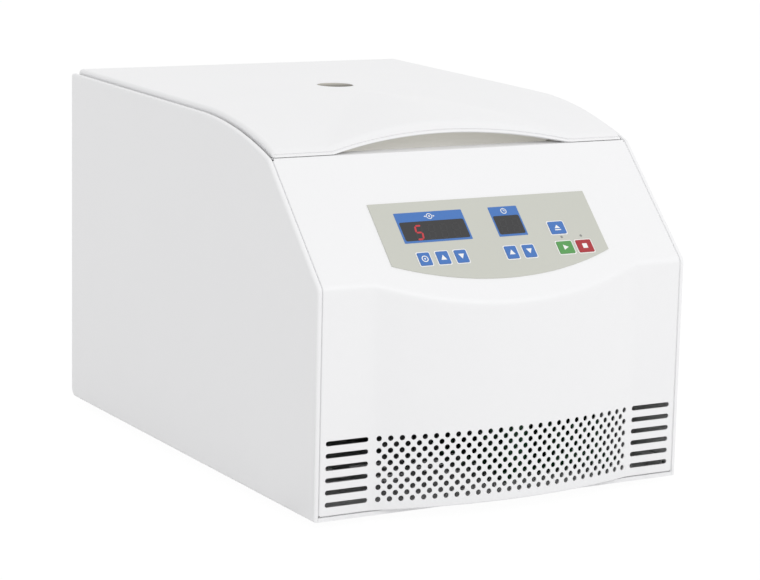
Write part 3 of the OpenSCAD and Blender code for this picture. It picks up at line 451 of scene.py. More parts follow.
def side_panel(name, sign, node):
    """The rim's section is swept round the outline; one flat face closes each side."""
    points, faces, count = [], [], len(outline)
    for depth, inset in rim:
        for y, z in mitred(outline, inset):
            points.append((sign * (HALF_W - depth), y, z))
    for k in range(len(rim) - 1):
        for i in range(count):
            j = (i + 1) % count
            faces.append((k * count + i, k * count + j, (k + 1) * count + j, (k + 1) * count + i))
    faces.append(range(count))
    faces.append(range((len(rim) - 1) * count, len(rim) * count))
    ob = finish_mesh(new_piece(name, points, faces), 50)
    return dress(weighted(ob), "housing", cabinet_white, "cabinet_white", node)


side_panel("side_skin_left", -1, "left_side_panel")
side_panel("side_skin_right", 1, "right_side_panel")

# %% [markdown]
# ## The front panel
# One sheet is bowed in the middle, folded back along the control face and perforated below. The
# holes are what an eye goes to first, so they are cut in the mesh: Geometry Nodes lay a small
# plate with a hole in it on every lattice point, which keeps the pattern editable, and the flat
# result is then wrapped on the bow. Boolean cuts would leave ragged shading round 281 holes.

# %% One plate with a hole
HOLE_D, HOLE_PITCH, COLUMN_STEP, HOLE_LOW = 5.0, 10.8, 5.2, 14.4
COLUMNS, ROWS = 51, 6
SLOT_L, SLOT_T, SLOT_X = 41.7, 4.4, 158.6
BOW_HALF = BULGE_R * math.asin(BULGE_HALF / BULGE_R)


def holed_plate(name, outer, inner):
    """A flat plate in X and Z with one hole, filled with triangles between its two loops."""
    bm = bmesh.new()
    for loop in (outer, inner):
        verts = [bm.verts.new((x, 0, z)) for x, z in loop]
        for a, b in zip(verts, verts[1:] + verts[:1]):
            bm.edges.new((a, b))
    bmesh.ops.triangle_fill(bm, edges=bm.edges, use_beauty=True)
    mesh = bpy.data.meshes.new(name)
    bm.to_mesh(mesh)
    bm.free()
    ob = bpy.data.objects.new(name, mesh)
    bpy.context.scene.collection.objects.link(ob)
    return ob


half_u, half_z = COLUMN_STEP / 2, HOLE_PITCH / 2
hole_cell = holed_plate(
    "hole cell",
    [(-half_u, -half_z), (-half_u, 0), (-half_u, half_z), (half_u, half_z), (half_u, 0),
     (half_u, -half_z)],
    [(HOLE_D / 2 * math.cos(a), HOLE_D / 2 * math.sin(a))
     for a in np.linspace(0, 2 * math.pi, 17)[:-1] + math.pi / 16])
SLOT_CELL, slot_arc = 23.0, SLOT_L / 2 - SLOT_T / 2
slot_edge = [(s * (slot_arc + SLOT_T / 2 * math.sin(a)), s * SLOT_T / 2 * math.cos(a))
             for s in (1, -1) for a in np.linspace(0, math.pi, 9)]
slot_cell = holed_plate(
    "slot cell",
    [(-SLOT_CELL, -half_z), (-SLOT_CELL, 0), (-SLOT_CELL, half_z), (-slot_arc, half_z),
     (slot_arc, half_z), (SLOT_CELL, half_z), (SLOT_CELL, 0), (SLOT_CELL, -half_z),
     (slot_arc, -half_z), (-slot_arc, -half_z)], slot_edge)
print("hole cell", len(hole_cell.data.polygons), "faces; slot cell",
      len(slot_cell.data.polygons), "faces")


# %% A node tree that repeats the plate
def tree_input(tree, name, kind, default=None):
    item = tree.interface.new_socket(name=name, in_out="INPUT", socket_type=kind)
    if default is not None:
        item.default_value = default
    return item


def punched_sheet_tree():
    """Columns by Rows copies of Cell; every second column moves up by half a Row Pitch."""
    tree = bpy.data.node_groups.new("punched sheet", "GeometryNodeTree")
    tree.interface.new_socket(name="Geometry", in_out="OUTPUT", socket_type="NodeSocketGeometry")
    tree_input(tree, "Cell", "NodeSocketObject")
    tree_input(tree, "Columns", "NodeSocketInt", 3)
    tree_input(tree, "Rows", "NodeSocketInt", 3)
    tree_input(tree, "Column Pitch", "NodeSocketFloat", 1.0)
    tree_input(tree, "Row Pitch", "NodeSocketFloat", 1.0)
    tree_input(tree, "Finish", "NodeSocketMaterial")
    link = tree.links.new

    def node(kind, settings=None, **inputs):
        made = tree.nodes.new(kind)
        for key, value in (settings or {}).items():
            setattr(made, key, value)
        for key, value in inputs.items():
            socket = made.inputs[int(key[1:])] if key[1:].isdigit() else made.inputs[key]
            if isinstance(value, bpy.types.NodeSocket):
                link(value, socket)
            else:
                socket.default_value = value
        return made.outputs

    def sums(operation, a, b):
        return node("ShaderNodeMath", {"operation": operation}, _0=a, _1=b)[0]

    given = node("NodeGroupInput")
    count = sums("MULTIPLY", given["Columns"], given["Rows"])
    index = node("GeometryNodeInputIndex")[0]
    points = node("GeometryNodePoints", None, Count=count)[0]
    column = sums("FLOOR", sums("DIVIDE", sums("ADD", index, 0.5), given["Rows"]), 0.0)
    row = sums("SUBTRACT", index, sums("MULTIPLY", column, given["Rows"]))
    odd = sums("MODULO", column, 2.0)
    u = sums("MULTIPLY", column, given["Column Pitch"])
    z = sums("MULTIPLY", sums("ADD", row, sums("MULTIPLY", odd, 0.5)), given["Row Pitch"])
    moved = node("GeometryNodeSetPosition", None, Geometry=points,
                 Position=node("ShaderNodeCombineXYZ", None, _0=u, _2=z)[0])[0]
    last = sums("GREATER_THAN", sums("ADD", row, odd), sums("SUBTRACT", given["Rows"], 0.5))
    kept = node("GeometryNodeDeleteGeometry", {"domain": "POINT"}, Geometry=moved,
                Selection=last)[0]
    cell = node("GeometryNodeObjectInfo", None, Object=given["Cell"])["Geometry"]
    spread = node("GeometryNodeInstanceOnPoints", None, Points=kept, Instance=cell)[0]
    real = node("GeometryNodeRealizeInstances", None, Geometry=spread)[0]
    coated = node("GeometryNodeSetMaterial", None, Geometry=real, Material=given["Finish"])[0]
    link(coated, tree.nodes.new("NodeGroupOutput").inputs[0])
    return tree


def punched_sheet(tree, cell, columns, rows, column_pitch, row_pitch):
    """Runs the tree once and gives its flat points and faces."""
    holder = new_piece("punched sheet", [(0, 0, 0)], [])
    modifier = holder.modifiers.new("punch", "NODES")
    modifier.node_group = tree
    for item in tree.interface.items_tree:
        value = {"Cell": cell, "Columns": columns, "Rows": rows, "Column Pitch": column_pitch,
                 "Row Pitch": row_pitch, "Finish": cabinet_white}.get(item.name)
        if value is not None:
            modifier[item.identifier] = value
    flatten(holder)
    points = np.array([v.co for v in holder.data.vertices])
    faces = [tuple(p.vertices) for p in holder.data.polygons]
    bpy.data.objects.remove(holder)
    return points, faces


punch = punched_sheet_tree()
holes = punched_sheet(punch, hole_cell, COLUMNS, ROWS, COLUMN_STEP, HOLE_PITCH)
slots = punched_sheet(punch, slot_cell, 1, ROWS, COLUMN_STEP, HOLE_PITCH)
print("hole field", len(holes[1]), "faces; slot field", len(slots[1]), "faces")
for cell in (hole_cell, slot_cell):
    bpy.data.objects.remove(cell)


# %% [markdown]
# The rest of the sheet is a grid in the same flat terms: `u` runs across the panel along its
# surface, and the rows climb the front, cross the fold and run up the control face. Grid lines
# meet the corners of the punched plates, so that the two weld into one skin, which Solidify then
# gives a thickness.

# %% The grid round the holes
FIELD_LOW, FIELD_TOP = HOLE_LOW - half_z, HOLE_LOW - half_z + ROWS * HOLE_PITCH
FIELD_U = COLUMNS * COLUMN_STEP / 2
FLAT_SHIFT = BOW_HALF - BULGE_HALF
SLOT_U = SLOT_X + FLAT_SHIFT
EDGE_BEND, BROW_TURN = 1.2, 1.4
LOWER_ROWS, FOLD_ROWS, FACE_ROWS = (8, 170, 12), (172, 214, 1.5), (216, 298, 10.5)


def x_of(u):
    """Across the panel: along the bow in the middle, straight on the flat sides."""
    u = np.asarray(u, float)
    bowed = BULGE_R * np.sin(np.clip(u, -BOW_HALF, BOW_HALF) / BULGE_R)
    return np.where(np.abs(u) <= BOW_HALF, bowed, np.sign(u) * (np.abs(u) - FLAT_SHIFT))


side_u = [FIELD_U, FIELD_U + 2.5, SLOT_U - SLOT_CELL, SLOT_U - slot_arc, SLOT_U - 8, SLOT_U + 8,
          SLOT_U + slot_arc, SLOT_U + SLOT_CELL, PANEL_HALF + FLAT_SHIFT - EDGE_BEND]
mid_u = [-FIELD_U + COLUMN_STEP * i for i in range(1, COLUMNS)]
us = np.array(sorted([-u for u in side_u] + mid_u + side_u))
zs = np.array(sorted(set(np.round(np.concatenate([
    [PANEL_LOW + EDGE_BEND], FIELD_LOW + half_z * np.arange(2 * ROWS + 1),
    np.arange(FIELD_TOP + LOWER_ROWS[0], *LOWER_ROWS[1:]), np.arange(*FOLD_ROWS),
    np.arange(*FACE_ROWS), [BROW_H - BROW_TURN]]), 4))))


def near(a, b):
    return abs(a - b) < 1e-3


def plain_cell(i, j):
    """True where the grid keeps its own face."""
    u0, u1, z0, z1 = us[i], us[i + 1], zs[j], zs[j + 1]
    if z0 < FIELD_LOW - 1e-3 or z1 > FIELD_TOP + 1e-3:
        return True
    mid = (u0 + u1) / 2
    if abs(mid) < FIELD_U:
        column = int(math.floor((mid + FIELD_U) / COLUMN_STEP))
        return column % 2 == 1 and (near(z0, FIELD_LOW) or near(z1, FIELD_TOP))
    return not SLOT_U - SLOT_CELL < abs(mid) < SLOT_U + SLOT_CELL


grid_u, grid_z = np.meshgrid(us, zs, indexing="ij")
grid_x = x_of(grid_u)
skin = [np.stack([grid_x, front_y(grid_x, grid_z), grid_z], -1).reshape(-1, 3)]
skin_faces = grid_faces(len(us), len(zs), plain_cell)
print("front grid", len(us), "by", len(zs))


def add_patch(points, faces):
    start = sum(len(p) for p in skin)
    skin.append(np.asarray(points, float).reshape(-1, 3))
    skin_faces.extend([tuple(start + int(v) for v in f) for f in faces])


for (points, faces), u_start in ((holes, -FIELD_U + half_u), (slots, SLOT_U), (slots, -SLOT_U)):
    x, z = x_of(points[:, 0] + u_start), points[:, 2] + HOLE_LOW
    add_patch(np.stack([x, front_y(x, z), z], -1), faces)

# %% The bent edges of the sheet
FLANGE, TURN, SHEET_T = 14.0, 6.0, 0.001
bend = np.linspace(0, math.pi / 2, 5)


def face_normal(x, z):
    """The outward direction in the plane that faces sideways, from the skin's own slope."""
    step = 0.25
    run = front_y(x, z + step) - front_y(x, z - step)
    n = np.stack([np.full_like(run, -2 * step), run], -1)
    return n / np.linalg.norm(n, axis=-1)[..., None]


for sign in (-1, 1):
    edge_x = np.full(len(zs), sign * (PANEL_HALF - EDGE_BEND))
    y0, n = front_y(edge_x, zs), face_normal(edge_x, zs)
    rows = []
    for out, back in [(EDGE_BEND * math.sin(a), EDGE_BEND * (1 - math.cos(a))) for a in bend] + [
            (EDGE_BEND, TURN)]:
        rows.append(np.stack([edge_x + sign * out, y0 - n[:, 0] * back, zs - n[:, 1] * back], -1))
    add_patch(np.array(rows), grid_faces(len(rows), len(zs)))

edge_x = x_of(us)
for z_edge, at_foot in ((zs[0], True), (zs[-1], False)):
    y0 = front_y(edge_x, np.full(len(us), z_edge))
    rows = []
    if at_foot:
        for a in bend:
            rows.append(np.stack([edge_x, y0 + EDGE_BEND * (1 - math.cos(a)),
                                  np.full(len(us), z_edge - EDGE_BEND * math.sin(a))], -1))
        rows.append(rows[-1] + (0, FLANGE, 0))
    else:
        back_y = BROW_Y + FLANGE / math.sin(SLOPE_A)
        for t in np.linspace(0, 1, 5):
            y = y0 + t * t * 1.6 + (1 - t) * t * 1.3
            rows.append(np.stack([edge_x, y, np.full(len(us), z_edge)
                                  + (BROW_H - z_edge) * (1 - (1 - t) ** 2)], -1))
        rows.append(np.stack([edge_x, np.full(len(us), back_y), np.full(len(us), BROW_H)], -1))
    add_patch(np.array(rows), grid_faces(len(rows), len(us)))

front = new_piece("front_skin", np.concatenate(skin), skin_faces)
finish_mesh(front, 40)
sheet = front.modifiers.new("sheet thickness", "SOLIDIFY")
sheet.thickness, sheet.offset = SHEET_T, -1.0
flatten(front)
finish_mesh(front, 40)
dress(weighted(front), "housing", cabinet_white, "cabinet_white", "front_panel")
print("front skin", len(front.data.vertices), "points", len(front.data.polygons), "faces")

# %% [markdown]
# ## The lid
# The lid is one moulding: it follows the side panels' crown, swells a little in the middle, and a
# long soft form rises over the finger opening and fades out towards the back. A height rule gives
# the whole surface, so it is made as a grid of that rule, with rows for the lip's face, its
# rounded edge and the back wall. Subdivision of a hand-made cage would only approach it.

# %% The lid's height rule
ARCH_HALF, ARCH_RISE, DOME = 129.0, 17.6, 2.9
SIDE_R, REAR_R, LIP_R, LIP_FALL, LIP_DEPTH = 3.4, 5.0, 3.4, 2.6, 12
LID_RISE, SWELL_IN, SWELL_OUT = 4.6, 196, 260
FORM_START, FORM_LONG, FORM_LIMIT = 12, 160, 1.6
grip_r = (GRIP_HALF ** 2 + GRIP_H ** 2) / (2 * GRIP_H)


def arch(x):
    return np.maximum(0, 1 - (np.asarray(x, float) / ARCH_HALF) ** 2)


def lip_line(x):
    """Height of the lip's upper edge."""
    return LIP_TOP + ARCH_RISE * arch(x)


def lip_foot(x):
    """Height of the lip's lower edge, raised over the finger opening."""
    x = np.minimum(np.abs(np.asarray(x, float)), GRIP_HALF)
    return LIP_LOW + GRIP_H - grip_r + np.sqrt(grip_r ** 2 - x * x)


def face_y(z):
    return (z - FOLD_H) / SLOPE


def lid_base(x, y):
    swell = DOME * (1 - (x / HALF_W) ** 2)
    return (crown(y) + LID_RISE
            + swell * blend((y - BROW_Y) / SWELL_IN) * blend((LID_REAR - y) / SWELL_OUT))


def lid_top(x, y):
    front = face_y(lip_line(x))
    end = BROW_Y + FORM_START + FORM_LONG * (1 - np.minimum(1, np.abs(x) / ARCH_HALF))
    rise = lip_line(x) - lid_base(x, front)
    return lid_base(x, y) + rise * np.clip((end - y) / (end - front), 0, FORM_LIMIT)


# %% Rows and columns of the lid
HOLE_GRID = np.arange(-24.0, 24.1, 6.0)
side_arc = np.linspace(0, math.pi / 2, 6)
flat_x = [30, 38, 46, 54, 62, 70, 78, 86, 94, 104, 110, 115, 119, 123, 127, 131, 136, 146, 158, 170]
right = [(x, 0.0) for x in flat_x]
right += [(LID_HALF - SIDE_R + SIDE_R * math.sin(a), SIDE_R * (1 - math.cos(a)))
          for a in side_arc]
columns = [(-x, d) for x, d in reversed(right)] + [(x, 0.0) for x in HOLE_GRID] + right
col_x, col_drop = np.array(columns).T

rows, normals = [], []


def add_row(y, z, normal):
    rows.append(np.stack([col_x, np.broadcast_to(y, col_x.shape),
                          np.broadcast_to(z, col_x.shape)], -1))
    n = np.array([0.0, *normal])
    normals.append(n / max(1e-9, np.linalg.norm(n)))


foot, top = lip_foot(col_x), lip_line(col_x)
lip_deep = LIP_DEPTH / math.sin(SLOPE_A)
back_z = lid_top(col_x, face_y(foot + 4) + lip_deep) - LID_T - 0.2
add_row(face_y(back_z) + lip_deep, back_z, (0, 0))
add_row(face_y(foot) + lip_deep, foot, (0, 0))
add_row(face_y(foot) + 1.2, foot, (0, 0))
add_row(face_y(foot) + 0.4, foot + 0.1, (-1, 0))
for t in np.linspace(0, 1, 4):
    z = foot + 0.8 + (top - LIP_FALL - foot - 0.8) * t
    add_row(face_y(z), z, (-1, 0))
face_end, edge_y = top - LIP_FALL, face_y(top)
top_start = lid_top(col_x, edge_y + LIP_R)
for t in (0.17, 0.33, 0.5, 0.67, 0.83, 1.0):
    y = (1 - t) ** 2 * face_y(face_end) + 2 * t * (1 - t) * edge_y + t * t * (edge_y + LIP_R)
    z = (1 - t) ** 2 * face_end + 2 * t * (1 - t) * top + t * t * top_start
    add_row(y, z, (-math.cos(t * math.pi / 2), math.sin(t * math.pi / 2)))
BACK_FROM = 286.0
for t in np.linspace(0, 1, 31)[1:]:
    y = edge_y + LIP_R + (BACK_FROM - edge_y - LIP_R) * t
    add_row(y, lid_top(col_x, y), (0, 1))
HOLE_ROW = len(rows) + 1
for y in [292, *(SIGHT_Y + HOLE_GRID), 356, 372, 390, 410, 430, 450, 470, 490, 504]:
    add_row(y, lid_top(col_x, np.full(len(col_x), float(y))), (0, 1))
rear_z = lid_top(col_x, np.full(len(col_x), LID_REAR - REAR_R))
for a in np.linspace(0, math.pi / 2, 6):
    add_row(LID_REAR - REAR_R + REAR_R * math.sin(a), rear_z - REAR_R * (1 - math.cos(a)),
            (math.sin(a), math.cos(a)))
HINGE_SLOT, SLOT_TOP = (104, 136), SKIRT_H + 19.0
add_row(LID_REAR, SLOT_TOP, (1, 0))
add_row(LID_REAR, SKIRT_H, (1, 0))
lid_points = np.array([r - n * col_drop[:, None] for r, n in zip(rows, normals)])
lid_points = lid_points.transpose(1, 0, 2)
print("lid grid", lid_points.shape, "top", round(float(lid_points[..., 2].max()), 2))


# %% Faces of the lid, with its sight hole, hinge slots and side walls
def lid_cell(i, j):
    x = (col_x[i] + col_x[i + 1]) / 2
    if abs(x) < HOLE_GRID[-1] and HOLE_ROW <= j < HOLE_ROW + len(HOLE_GRID) - 1:
        return False
    return not (j == len(rows) - 2 and HINGE_SLOT[0] < abs(x) < HINGE_SLOT[1])


n_cols, n_rows = lid_points.shape[:2]
lid_faces = grid_faces(n_cols, n_rows, lid_cell)
points = [p for column in lid_points for p in column]
RING_R, drops = (21.0, 18.4, 17.95, 17.75, 17.75), (0, 0, 0, 0.15, 0.6, 2.4)
first = HOLE_GRID[0]
square = [(x, first) for x in HOLE_GRID] + [(-first, y) for y in HOLE_GRID[1:]]
square += [(x, -first) for x in HOLE_GRID[::-1][1:]] + [(first, y) for y in HOLE_GRID[::-1][1:-1]]
around = [math.atan2(y, x) for x, y in square]
rings = [square] + [[(r * math.cos(a), r * math.sin(a)) for a in around]
                    for r in RING_R]
start = len(points)
for ring, drop in zip(rings, drops):
    for x, y in ring:
        points.append((x, SIGHT_Y + y, float(lid_top(x, SIGHT_Y + y)) - drop))
count = len(square)
for k in range(len(rings) - 1):
    for i in range(count):
        a, b = start + k * count + i, start + k * count + (i + 1) % count
        lid_faces.append((a, b, b + count, a + count))
WALL_Y = 152.0
for c in (0, n_cols - 1):
    x = col_x[c]
    points += [(x, WALL_Y, SKIRT_H), (x, WALL_Y, LIP_LOW)]
    loop = [c * n_rows + j for j in range(1, n_rows)] + [len(points) - 2, len(points) - 1]
    lid_faces.append(loop)
lid = new_piece("lid_skin", points, lid_faces)
finish_mesh(lid, 38)
wall = lid.modifiers.new("moulding wall", "SOLIDIFY")
wall.thickness, wall.offset = LID_T / 1000, -1.0
flatten(lid)
finish_mesh(lid, 38)
dress(weighted(lid), "lid", lid_white, "lid_white", "lid_shell")
print("lid skin", len(lid.data.polygons), "faces")

# %% The sight glass, almost flush in its hole
GLASS_R, GLASS_DOWN, GLASS_T, GLASS_TURN = 17.4, 0.45, 3.2, 48
glass_ring = [(GLASS_R * math.cos(a), SIGHT_Y + GLASS_R * math.sin(a))
              for a in np.linspace(0, 2 * math.pi, GLASS_TURN, endpoint=False)]
glass_points = [(x, y, float(lid_top(x, y)) - d) for d in (GLASS_DOWN, GLASS_DOWN + GLASS_T)
                for x, y in glass_ring]
glass_faces = [(i, (i + 1) % GLASS_TURN, GLASS_TURN + (i + 1) % GLASS_TURN, GLASS_TURN + i)
               for i in range(GLASS_TURN)]
glass_faces += [range(GLASS_TURN), range(GLASS_TURN, 2 * GLASS_TURN)]
dress(finish_mesh(new_piece("sight_window", glass_points, glass_faces), 40), "lid", sight_glass_painted_shade,
      "sight_glass", "sight_glass")

# %% [markdown]
# Behind the lip the lid has a hollow for the fingers, a sheet that curls forward above the
# trough in the cabinet. From the front it is what closes the view into the opening.

# %% The finger hollow under the lid
hollow, HOLLOW_HALF = [], 126.0
HOLLOW_Y, HOLLOW_LOW, HOLLOW_BACK, HOLLOW_T = 142.5, 296.0, 15.5, 0.0012
hollow_x = np.linspace(-HOLLOW_HALF, HOLLOW_HALF, 61)
for x in hollow_x:
    z_top = float(lip_foot(x)) + 1.2
    y_front = float(face_y(lip_foot(x))) + HOLLOW_BACK
    for a in np.linspace(0, math.pi / 2, 12):
        hollow.append((x, y_front + (HOLLOW_Y - y_front) * math.cos(a),
                       HOLLOW_LOW + (z_top - HOLLOW_LOW) * math.sin(a)))
pocket = new_piece("finger_hollow", hollow, grid_faces(len(hollow_x), 12))
bm = bmesh.new()
bm.from_mesh(pocket.data)
bmesh.ops.solidify(bm, geom=bm.faces, thickness=-HOLLOW_T)
bm.to_mesh(pocket.data)
bm.free()
dress(finish_mesh(pocket, 50), "lid", hollow_painted_shade, "liner_grey")

# %% [markdown]
# ## The control face
# On the real machine the whole control face is one printed film. Its blue frames, white key
# outlines and signs are made as plates a few hundredths of a millimetre thick, which stay crisp at
# any distance; a painted texture would need a large picture for the same edge. Words are
# replaced by plain signs.

# %% Plates on the control face
def rounded_rect(x0, x1, s0, s1, r, steps=5):
    points = []
    for cx, cs, a0 in ((x1 - r, s0 + r, -90), (x1 - r, s1 - r, 0), (x0 + r, s1 - r, 90),
                       (x0 + r, s0 + r, 180)):
        for a in np.radians(np.linspace(a0, a0 + 90, steps)):
            points.append((cx + r * math.cos(a), cs + r * math.sin(a)))
    return points


def face_plate(name, shapes, n0, n1, bevel=0.0):
    """Closed flat plates on the control face. A shape is an outline, or an (outer, inner) pair."""
    points, faces = [], []

    def ring(outline, n):
        start = len(points)
        points.extend(on_face([p[0] for p in outline], [p[1] for p in outline], n).tolist())
        return list(range(start, len(points)))

    def band(a, b):
        for i in range(len(a)):
            j = (i + 1) % len(a)
            faces.append((a[i], a[j], b[j], b[i]))

    for shape in shapes:
        if isinstance(shape, tuple):
            outer, inner = shape
            a, b, c, d = ring(outer, n0), ring(outer, n1), ring(inner, n1), ring(inner, n0)
            for pair in ((a, b), (b, c), (c, d), (d, a)):
                band(*pair)
            continue
        a, b = ring(shape, n0), ring(shape, n1 - bevel)
        band(a, b)
        if bevel:
            centre = np.mean(shape, 0)
            drawn = [p + (centre - p) / np.abs(centre - p).max() * bevel
                     for p in np.asarray(shape)]
            c = ring(drawn, n1)
            band(b, c)
            b = c
        faces.extend([a[::-1], b])
    return finish_mesh(new_piece(name, points, faces), 30)


def disc(x, s, r, n=24):
    return [(x + r * math.cos(a), s + r * math.sin(a))
            for a in np.linspace(0, 2 * math.pi, n, endpoint=False)]


OVERLAY_T, WINDOW_S, WINDOW_H, PRINT_T = 0.8, 40.7, 20.6, 0.05
FILM_LEFT, FILM_RIGHT, FILM_LOW, FILM_TOP, FILM_BOW = -111.8, 113.4, 17.6, 82.2, 21.5
film_r = (FILM_RIGHT ** 2 + FILM_BOW ** 2) / (2 * FILM_BOW)
film = [(x, FILM_LOW - FILM_BOW + film_r - math.sqrt(film_r ** 2 - x * x))
        for x in np.linspace(FILM_LEFT, FILM_RIGHT, 61)]
film += [(FILM_RIGHT, FILM_TOP), (FILM_LEFT, FILM_TOP)]
dress(face_plate("overlay_skin", [film], 0.0, OVERLAY_T - 0.08), "housing", overlay_film,
      "overlay_grey", "control_overlay")
WINDOWS = {"speed": (-55.6, 66.0, -90.3, -21.3), "time": (21.5, 27.5, 6.5, 36.5)}
FRAME_LOW, FRAME_TOP = 38.9, 70.9
frames = []
for x, w, x0, x1 in WINDOWS.values():
    inner = rounded_rect(x - w / 2 + 0.2, x + w / 2 - 0.2, WINDOW_S + 0.3,
                         WINDOW_S + WINDOW_H - 0.2, 1.8)
    frames.append((rounded_rect(x0, x1, FRAME_LOW, FRAME_TOP, 0.6), inner))
dress(face_plate("window_frames", frames, OVERLAY_T - 0.05, OVERLAY_T + PRINT_T), "housing",
      print_blue, "key_blue")
dress(face_plate("window_panes", [
    rounded_rect(x - w / 2, x + w / 2, WINDOW_S, WINDOW_S + WINDOW_H, 0.5)
    for x, w, _, _ in WINDOWS.values()], 0.0, OVERLAY_T - 0.02), "housing", smoked_window,
    "window_smoke", "display_windows")

# %% Seven-segment digits
DIGIT_H, DIGIT_W, SEGMENT, LEAN = 16.0, 7.8, 1.8, math.tan(math.radians(9))
DIGIT_LOW = 41.5
SEGMENTS = {"a": (0, 2, 1, 2), "b": (1, 2, 1, 1), "c": (1, 1, 1, 0), "d": (0, 0, 1, 0),
            "e": (0, 1, 0, 0), "f": (0, 2, 0, 1), "g": (0, 1, 1, 1)}


def segment(x, name):
    """A bar with pointed ends between two corners of the digit."""
    i0, j0, i1, j1 = SEGMENTS[name]
    half_h, t = (DIGIT_H - SEGMENT) / 2, SEGMENT / 2
    p = np.array([(i0 - 0.5) * (DIGIT_W - SEGMENT), (j0 - 1) * half_h])
    q = np.array([(i1 - 0.5) * (DIGIT_W - SEGMENT), (j1 - 1) * half_h])
    along = (q - p) / np.linalg.norm(q - p)
    across = np.array([-along[1], along[0]])
    p, q = p + along * 0.25, q - along * 0.25
    shape = [p, p + (along + across) * t, q + (across - along) * t, q,
             q - (along + across) * t, p + (along - across) * t]
    middle = DIGIT_LOW + DIGIT_H / 2
    return [(x + v[0] + v[1] * LEAN, middle + v[1]) for v in shape][::-1]


DIGITS = {-71.9: "afgcd", -59.2: "", -46.5: "", -33.8: "", 15.2: "", 27.9: ""}
for name, material, slot_name, wanted in (("lit_segments", lit_segment, "key_red", True),
                                          ("dark_segments", digit_off, "display_black", False)):
    bars = [segment(x, g) for x, on in DIGITS.items() for g in SEGMENTS if (g in on) == wanted]
    dress(face_plate(name, bars, OVERLAY_T - 0.03, OVERLAY_T + 0.02), "housing", material,
          slot_name)

# %% Keys with their outlines and signs
KEY_H, KEY_W, WIDE_W, KEY_TOP, KEY_FLOOR = 12.8, 11.6, 15.6, 1.5, 0.7
LOW_ROW, MIDDLE_ROW, HIGH_ROW, START_X = 21.5, 22.3, 43.9, 69.0
KEYS = {"mode_key": (-77.4, LOW_ROW, KEY_W, print_blue, "key_blue"),
        "speed_up_key": (-58.8, LOW_ROW, KEY_W, print_blue, "key_blue"),
        "speed_down_key": (-40.2, LOW_ROW, KEY_W, print_blue, "key_blue"),
        "time_up_key": (11.6, LOW_ROW, KEY_W, print_blue, "key_blue"),
        "time_down_key": (30.1, LOW_ROW, KEY_W, print_blue, "key_blue"),
        "open_key": (START_X, HIGH_ROW, WIDE_W, print_blue, "key_blue"),
        "start_key": (START_X, MIDDLE_ROW, WIDE_W, key_green, "key_green"),
        "stop_key": (89.6, MIDDLE_ROW, WIDE_W, key_red, "key_red")}


def key_signs(name, x, s):
    """White signs: arrows to change a value, a ring for the mode, a play triangle, a square."""
    up = [(x - 2.9, s - 2.4), (x + 2.9, s - 2.4), (x, s + 2.8)]
    if "up" in name:
        return [up]
    if "down" in name:
        return [[(px, 2 * s - ps) for px, ps in up][::-1]]
    if name == "mode_key":
        return [(disc(x, s, 3.3), disc(x, s, 2.4)), disc(x, s, 0.9, 12)]
    if name == "open_key":
        lifted = [(px, s + 0.9 + (ps - s) * 0.7) for px, ps in up]
        return [lifted, rounded_rect(x - 3.2, x + 3.2, s - 3.0, s - 1.9, 0.2, 2)]
    if name == "start_key":
        return [[(x - 2.2, s - 2.8), (x + 3.0, s), (x - 2.2, s + 2.8)]]
    return [rounded_rect(x - 2.5, x + 2.5, s - 2.5, s + 2.5, 0.3, 2)]


outlines = []
for name, (x, s, w, material, slot_name) in KEYS.items():
    half, tall = w / 2 + 0.2, KEY_H / 2 + 0.2
    pad = face_plate(name + "_pad", [rounded_rect(x - half, x + half, s - tall, s + tall, 1.1)],
                     KEY_FLOOR, KEY_TOP, 0.2)
    dress(pad, name, material, slot_name, name)
    dress(face_plate(name + "_sign", key_signs(name, x, s), KEY_TOP - 0.02, KEY_TOP + 0.03), name,
          print_white)
    outlines.append((rounded_rect(x - half - 1.1, x + half + 1.1, s - tall - 1.1, s + tall + 1.1,
                                  1.9), rounded_rect(x - half - 0.1, x + half + 0.1,
                                                     s - tall - 0.1, s + tall + 0.1, 1.1)))
dress(face_plate("key_outlines", outlines, OVERLAY_T - 0.05, OVERLAY_T + PRINT_T), "housing",
      print_white)
sign_top = OVERLAY_T + 2 * PRINT_T
SIGN_S = 66.0
clock_x, dial_x = WINDOWS["time"][0], WINDOWS["speed"][0]
clock = [(disc(clock_x, SIGN_S, 3.0), disc(clock_x, SIGN_S, 2.3)),
         rounded_rect(clock_x - 0.3, clock_x + 0.3, SIGN_S - 0.2, SIGN_S + 1.8, 0.1, 2),
         rounded_rect(clock_x - 0.1, clock_x + 1.5, SIGN_S - 0.3, SIGN_S + 0.3, 0.1, 2)]
dial = [(disc(dial_x, SIGN_S, 3.0), disc(dial_x, SIGN_S, 2.3)), disc(dial_x, SIGN_S, 0.9, 12)]
dial += [[(dial_x + 3.7 * k, SIGN_S - 1), (dial_x + 5.6 * k, SIGN_S),
          (dial_x + 3.7 * k, SIGN_S + 1)][::k] for k in (1, -1)]
dress(face_plate("header_signs", clock + dial, OVERLAY_T, sign_top), "housing", print_white)
print(len(KEYS), "keys")

# %% [markdown]
# ## Floor, lights and camera
# The photograph is a catalogue picture: a white ground, soft light from all round and a little
# more from the front and above. The floor shows white to the camera and still takes a soft
# shadow. The camera stands in front, to the left, and looks slightly down through a long lens.

